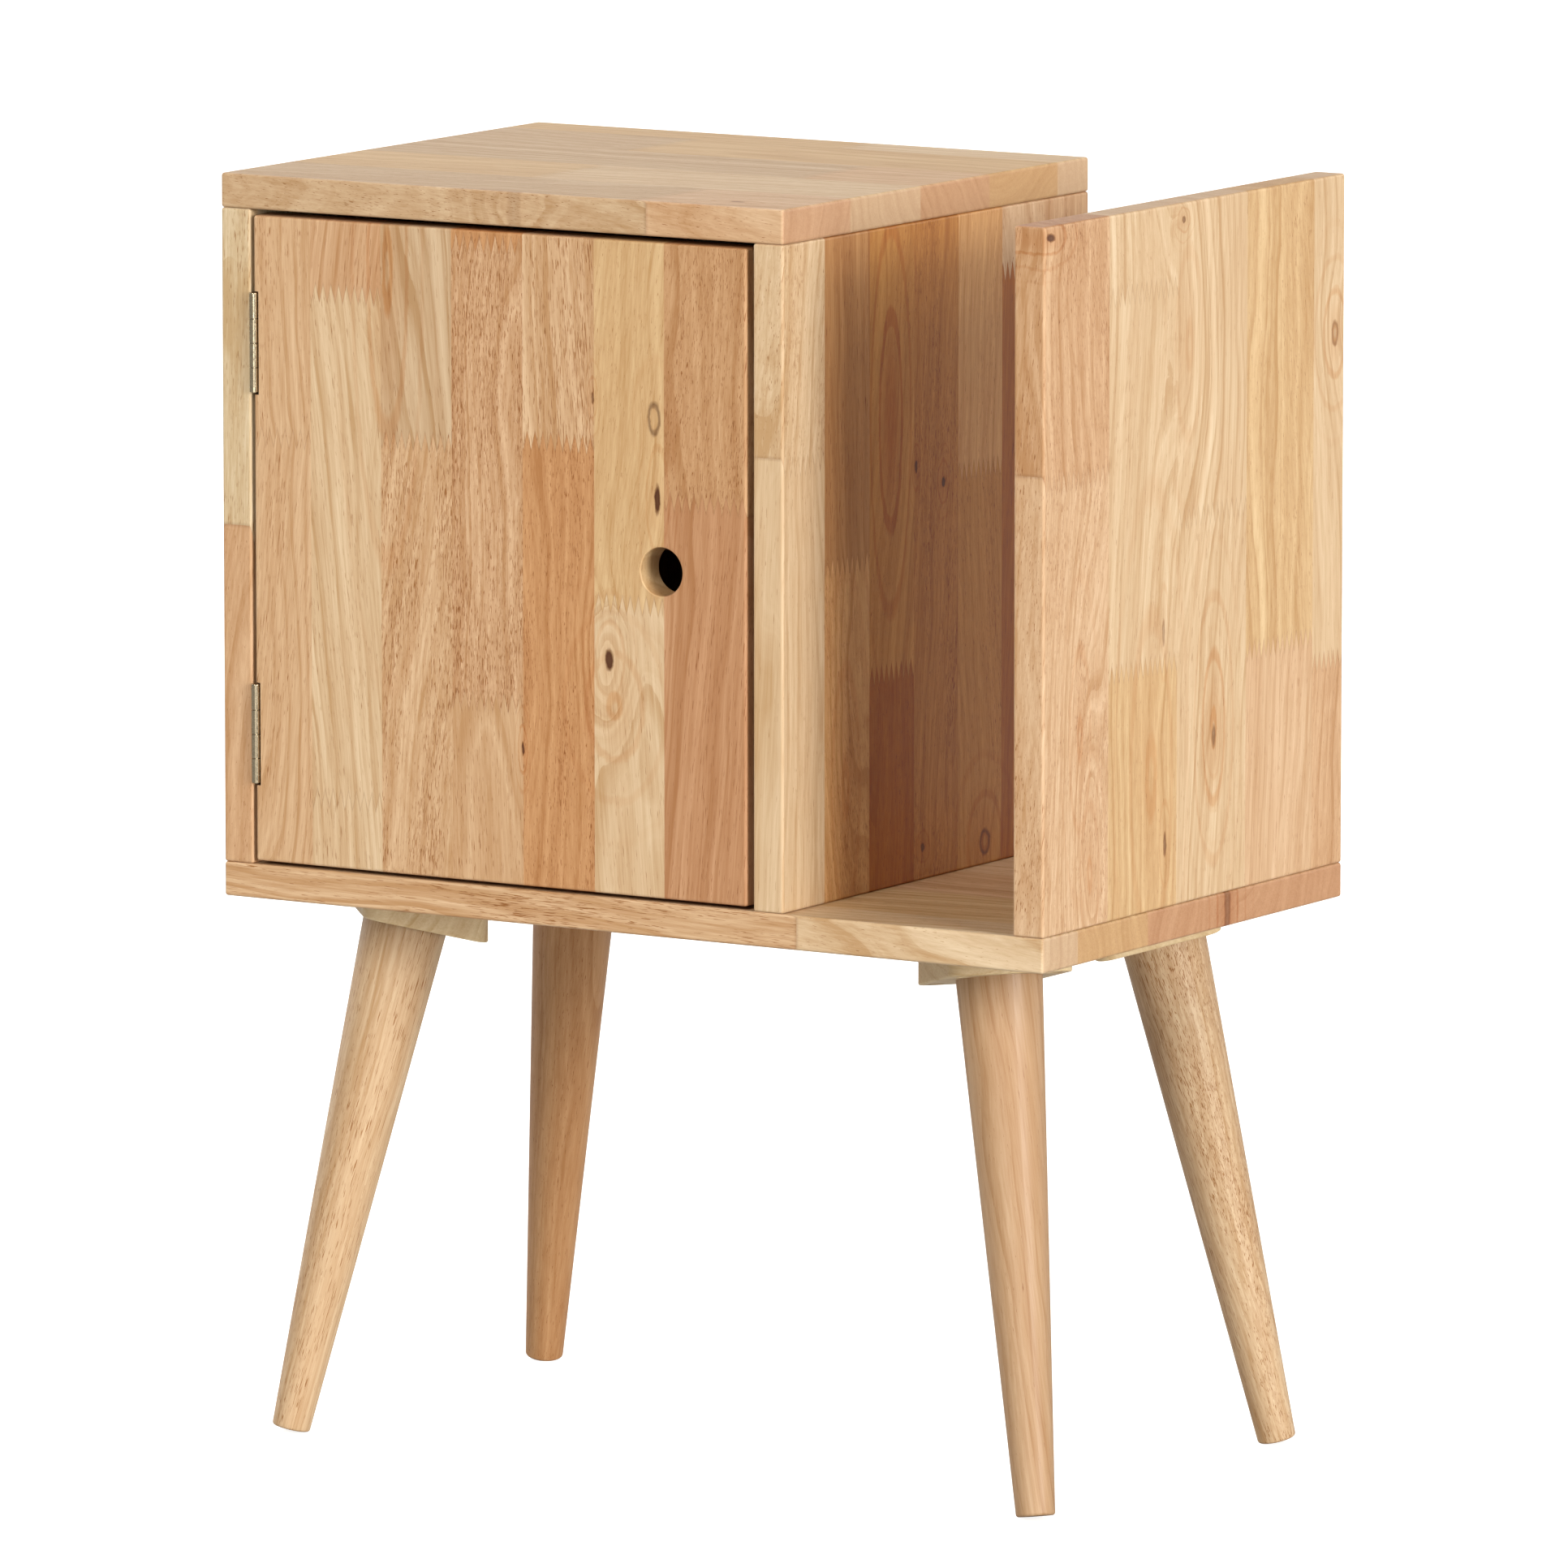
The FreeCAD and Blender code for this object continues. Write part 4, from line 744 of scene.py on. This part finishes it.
def speckle(tree, size, detail):
    """Noise with spots of a size in millimetres."""
    coordinates = add(tree, "TexCoord").outputs["Object"]
    return add(tree, "TexNoise", ("Vector", coordinates), ("Scale", 1 / (size * MM)),
               ("Detail", detail)).outputs[0]


# Plated steel: a fine satin that catches the light unevenly, duller in scattered spots
def plated_steel(name, colour, roughness, grit):
    material, tree, shader = new_material(name, ("Metallic", 1))
    noise = speckle(tree, grit, 3)
    rough = add(tree, "MapRange", (0, noise), (1, 0.3), (2, 0.7), (3, roughness - 0.06),
                (4, roughness + 0.1)).outputs[0]
    tarnish = add(tree, "MapRange", (0, noise), (1, 0.35), (2, 0.7), (3, 1.04), (4, 0.86)).outputs[0]
    shaded(tree, shader, colour, tarnish)
    tree.links.new(rough, shader.inputs["Roughness"])
    bump = add(tree, "Bump", ("Height", noise), ("Strength", 0.2), ("Distance", 0.02 * MM))
    tree.links.new(bump.outputs["Normal"], shader.inputs["Normal"])
    return material


# Turned beech, moulded plastic and sintered ferrite: matt, in one colour with fine grit
def matt_material(name, colour, roughness, grit, darkest):
    material, tree, shader = new_material(name, ("Roughness", roughness))
    shade = add(tree, "MapRange", (0, speckle(tree, grit, 2)), (3, darkest), (4, 1.1)).outputs[0]
    shaded(tree, shader, colour, shade)
    return material


def cross_outline(reach, width):
    """A cross with four arms of one reach and width."""
    arm = [(reach, -width / 2), (reach, width / 2), (width / 2, width / 2)]
    outline = []
    for _ in range(4):
        outline += arm
        arm = [(-y, x) for x, y in arm]
    return outline


def hexagon_outline(flats):
    """A hexagon, by the distance between two flats."""
    turns = [math.radians(60 * i) for i in range(6)]
    return [(flats * math.cos(turn) / math.sqrt(3), flats * math.sin(turn) / math.sqrt(3)) for turn in turns]


# For each group of screws: the body that carries it, the way its heads face, and the outline of the recess
# that drives them in millimetres, with its floor's share of that outline and its depth
Recess = namedtuple("Recess", "body out outline floor depth")
SMALL_CROSS = cross_outline(1.5, 0.7)
LARGE_CROSS = cross_outline(2.2, 1)
HEXAGON = hexagon_outline(4)
RECESSES = {
    "hinge_cabinet_screws": Recess("carcass", Vector((1, 0, 0)), SMALL_CROSS, 0.4, 1),
    "hinge_door_screws": Recess("door", Vector((-1, 0, 0)), SMALL_CROSS, 0.4, 1),
    "strike_screw": Recess("door", Vector((0, 1, 0)), SMALL_CROSS, 0.4, 1),
    "catch_screws": Recess("carcass", Vector((0, 0, -1)), SMALL_CROSS, 0.4, 1),
    "leg_block_screws": Recess("carcass", Vector((0, 0, -1)), LARGE_CROSS, 0.4, 1.6),
    "side_panel_screws": Recess("carcass", Vector((0, 0, -1)), HEXAGON, 1, 3),
    "outer_panel_screws": Recess("carcass", Vector((0, 0, -1)), HEXAGON, 1, 3),
}
# How far a bit stands out of the head that it cuts, in millimetres
BIT_CLEAR = 0.3
# How close two points are one point, how close to a head's face they are on it, and where an edge is sharp
WELD = 0.001 * MM
FLAT = 0.01 * MM
SHARP = math.radians(30)


def islands(solids):
    """The vertices of each separate solid."""
    seen = set()
    for start in solids.verts:
        if start in seen:
            continue
        seen.add(start)
        island = [start]
        for vertex in island:
            for edge in vertex.link_edges:
                other = edge.other_vert(vertex)
                if other not in seen:
                    seen.add(other)
                    island.append(other)
        yield island


def put(name, data):
    """A new object in the scene."""
    made = bpy.data.objects.new(name, data)
    bpy.context.scene.collection.objects.link(made)
    return made


def mesh_object(name, solids):
    """An object from a bmesh, which is then freed."""
    mesh = bpy.data.meshes.new(name)
    solids.to_mesh(mesh)
    solids.free()
    return put(name, mesh)


def cutting_bits(plain, recess):
    """A bit in each screw's head, in its recess's shape."""
    bits = bmesh.new()
    for island in islands(plain):
        face = max(vertex.co.dot(recess.out) for vertex in island)
        rim = [vertex.co for vertex in island if face - vertex.co.dot(recess.out) < FLAT]
        place = Matrix.LocRotScale(sum(rim, Vector()) / len(rim), recess.out.to_track_quat("Z", "Y"), None)
        rings = []
        for height, width in ((BIT_CLEAR, 1), (-recess.depth, recess.floor)):
            rings.append([bits.verts.new(place @ (Vector((x * width, y * width, height)) * MM))
                          for x, y in recess.outline])
        for ring in rings:
            bits.faces.new(ring)
        for i in range(len(recess.outline)):
            bits.faces.new((rings[0][i - 1], rings[0][i], rings[1][i], rings[1][i - 1]))
    bmesh.ops.recalc_face_normals(bits, faces=bits.faces)
    return bits


def drive_recesses(node, material):
    """Puts screws with driven heads in the place of a node's plain ones."""
    recess = RECESSES[node]
    plain = bmesh.new()
    plain.from_mesh(NODES[node].data)
    bmesh.ops.remove_doubles(plain, verts=plain.verts, dist=WELD)
    bit = mesh_object("bit", cutting_bits(plain, recess))
    screws = mesh_object(f"driven_{node}", plain)
    cut = screws.modifiers.new("recess", "BOOLEAN")
    cut.object = bit
    shape = bpy.data.meshes.new_from_object(screws.evaluated_get(bpy.context.evaluated_depsgraph_get()))
    screws.modifiers.clear()
    screws.data = shape
    shape.shade_smooth()
    shape.set_sharp_from_angle(angle=SHARP)
    bpy.data.objects.remove(bit)
    shape.materials.clear()
    shape.materials.append(material)
    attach(screws, recess.body)
    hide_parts(node)


class SIDETABLE_OT_hinges(bpy.types.Operator):
    """Finishes the butt hinges and their screws."""

    bl_idname = "side_table.hinges"
    bl_label = "Hinges"

    def execute(self, context):
        nickel = plated_steel("satin_nickel_plate", context.scene.side_table_hardware.nickel, 0.2, 1.5)
        for level in ("lower", "upper"):
            for piece in ("cabinet_leaf", "door_leaf", "pin"):
                dress(f"{level}_hinge_{piece}", nickel)
        for node in ("hinge_cabinet_screws", "hinge_door_screws"):
            dress(node, nickel)
            drive_recesses(node, nickel)
        return {"FINISHED"}


class SIDETABLE_OT_fittings(bpy.types.Operator):
    """Finishes the strike and pole plates, the screws, bolts, cams, inserts and dowels."""

    bl_idname = "side_table.fittings"
    bl_label = "Fittings"

    def execute(self, context):
        hardware = context.scene.side_table_hardware
        zinc = plated_steel("bright_zinc_plate", hardware.zinc, 0.28, 2)
        for node in ("strike_plate", "catch_pole_plates", "cam_bolts", "cam_locks", "hanger_bolts",
                     "leg_inserts"):
            dress(node, zinc)
        for node in ("strike_screw", "catch_screws", "leg_block_screws", "side_panel_screws",
                     "outer_panel_screws"):
            dress(node, zinc)
            drive_recesses(node, zinc)
        beech = matt_material("turned_beech", hardware.beech, 0.6, 1.11, 0.85)
        for node in ("top_dowels", "base_dowels"):
            dress(node, beech)
        return {"FINISHED"}


class SIDETABLE_OT_catch(bpy.types.Operator):
    """Finishes the magnetic catch."""

    bl_idname = "side_table.catch"
    bl_label = "Catch"

    def execute(self, context):
        hardware = context.scene.side_table_hardware
        dress("catch_body", matt_material("moulded_catch_plastic", hardware.catch, 0.5, 0.4, 0.9))
        dress("catch_magnet", matt_material("sintered_ferrite", hardware.ferrite, 0.6, 0.4, 0.9))
        return {"FINISHED"}


# The studio's suns: degrees round from the front towards the right and up from the floor, the width that
# each shows in degrees, which softens its shadows, and watts per square metre
Sun = namedtuple("Sun", "name azimuth height softness power")
SUNS = (
    Sun("key_low", 74, 9, 19, 2.02),
    Sun("key_high", 74, 19.5, 22, 1.06),
    Sun("front_fill", 8, 31, 30, 2.23),
    Sun("back_fill", 235, 44, 50, 1.15),
    Sun("right_fill", 142, 18, 40, 0.7),
    Sun("left_fill", -100, 22, 50, 1.15),
)
# A low white card beside the camera draws the bright line down the hinge barrels. Metres, watts and degrees
CARD_WIDTH = 1.6
CARD_HEIGHT = 0.5
CARD_POWER = 12
CARD_SPOT = (1.55, -2.95, 0.25)
CARD_TURN = 32
# How brightly the floor shows, how brightly the room and its backdrop glow, and which way the backdrop lies
FLOOR_GLOW = 1.75
ROOM_GLOW = 0.16
BACKDROP_GLOW = 0.6
BACKDROP_WAY = (-0.53, 0.85, 0)


def lay_floor(stage):
    """Matt white paper, so brightly lit that the camera sees it washed out."""
    half = stage.floor_size / 2
    corners = [(-half, -half, 0), (half, -half, 0), (half, half, 0), (-half, half, 0)]
    mesh = bpy.data.meshes.new("floor")
    mesh.from_pydata(corners, [], [(0, 1, 2, 3)])
    paper = opaque(stage.floor)
    material, tree, shader = new_material(
        "matt_paper_floor", ("Base Color", paper), ("Emission Color", paper), ("Roughness", 0.9),
        ("Specular IOR Level", 0.1))
    seen = add(tree, "LightPath").outputs["Is Camera Ray"]
    washed = add(tree, "Math", (0, seen), (1, FLOOR_GLOW), operation="MULTIPLY").outputs[0]
    tree.links.new(washed, shader.inputs["Emission Strength"])
    mesh.materials.append(material)
    put("floor", mesh)


def hang_suns():
    """Plain soft studio light."""
    for sun in SUNS:
        light = bpy.data.lights.new(sun.name, "SUN")
        light.angle = math.radians(sun.softness)
        light.energy = sun.power
        turn, lift = math.radians(sun.azimuth), math.radians(sun.height)
        away = Vector((math.sin(turn) * math.cos(lift), -math.cos(turn) * math.cos(lift), math.sin(lift)))
        put(sun.name, light).rotation_euler = away.to_track_quat("Z", "Y").to_euler()


def stand_card():
    """The white card, as a light that the camera doesn't see."""
    light = bpy.data.lights.new("card", "AREA")
    light.shape = "RECTANGLE"
    light.size = CARD_WIDTH
    light.size_y = CARD_HEIGHT
    light.energy = CARD_POWER
    card = put("card", light)
    card.location = CARD_SPOT
    card.rotation_euler = (math.radians(90), 0, math.radians(CARD_TURN))
    card.visible_camera = False


def studio_world():
    """A dim room with a bright white backdrop behind the table."""
    world = bpy.data.worlds.new("studio")
    world.use_nodes = True
    tree = world.node_tree
    way = add(tree, "TexCoord").outputs["Generated"]
    lift = add(tree, "SeparateXYZ", (0, way)).outputs[2]
    low = add(tree, "MapRange", (0, lift), (1, 0.45), (2, 0.2)).outputs[0]
    behind = add(tree, "VectorMath", (0, way), (1, BACKDROP_WAY), operation="DOT_PRODUCT").outputs["Value"]
    wide = add(tree, "MapRange", (0, behind), (1, 0.2), (2, 0.8)).outputs[0]
    screen = add(tree, "Math", (0, low), (1, wide), operation="MULTIPLY").outputs[0]
    glow = add(tree, "MapRange", (0, screen), (3, ROOM_GLOW), (4, BACKDROP_GLOW)).outputs[0]
    seen = add(tree, "LightPath").outputs["Is Camera Ray"]
    bright = add(tree, "Math", (0, glow), (1, seen), operation="ADD").outputs[0]
    background = tree.nodes["Background"]
    tree.links.new(bright, background.inputs["Strength"])
    background.inputs["Color"].default_value = (1, 1, 1, 1)
    return world


def stand_camera(stage):
    """The camera, at the photo's viewing angle."""
    lens = bpy.data.cameras.new("camera")
    lens.lens = stage.camera_lens
    lens.shift_y = stage.camera_rise
    camera = put("camera", lens)
    camera.location = stage.camera_spot
    camera.rotation_euler = (math.radians(90) - stage.camera_dip, 0, stage.camera_turn)
    return camera


class SIDETABLE_OT_stage(bpy.types.Operator):
    """Sets the floor, the lights and the camera."""

    bl_idname = "side_table.stage"
    bl_label = "Stage"

    def execute(self, context):
        scene = context.scene
        lay_floor(scene.side_table_stage)
        hang_suns()
        stand_card()
        scene.world = studio_world()
        scene.view_settings.view_transform = "Standard"
        scene.camera = stand_camera(scene.side_table_stage)
        return {"FINISHED"}


class SIDETABLE_PT_panel(bpy.types.Panel):
    """The table's settings and steps."""

    bl_idname = "SIDETABLE_PT_panel"
    bl_label = "Side Table"
    bl_space_type = "VIEW_3D"
    bl_region_type = "UI"
    bl_category = "Side Table"

    def draw(self, context):
        for group in SETTINGS:
            settings = getattr(context.scene, group)
            box = self.layout.box()
            for name in settings.__annotations__:
                box.prop(settings, name)
        for step in STEPS:
            self.layout.operator(step.bl_idname)


SETTINGS = {
    "side_table_wood": SideTableWood,
    "side_table_hardware": SideTableHardware,
    "side_table_stage": SideTableStage,
}
STEPS = (
    SIDETABLE_OT_boards,
    SIDETABLE_OT_door,
    SIDETABLE_OT_back_panel,
    SIDETABLE_OT_legs,
    SIDETABLE_OT_leg_blocks,
    SIDETABLE_OT_hinges,
    SIDETABLE_OT_fittings,
    SIDETABLE_OT_catch,
    SIDETABLE_OT_stage,
)


def register():
    for group in SETTINGS.values():
        bpy.utils.register_class(group)
    for name, group in SETTINGS.items():
        setattr(bpy.types.Scene, name, PointerProperty(type=group))
    for step in STEPS + (SIDETABLE_PT_panel,):
        bpy.utils.register_class(step)


def unregister():
    for step in reversed(STEPS + (SIDETABLE_PT_panel,)):
        bpy.utils.unregister_class(step)
    for name, group in SETTINGS.items():
        delattr(bpy.types.Scene, name)
        bpy.utils.unregister_class(group)


def main():
    register()
    for step in STEPS:
        family, name = step.bl_idname.split(".")
        getattr(getattr(bpy.ops, family), name)()


if __name__ == "__main__":
    main()
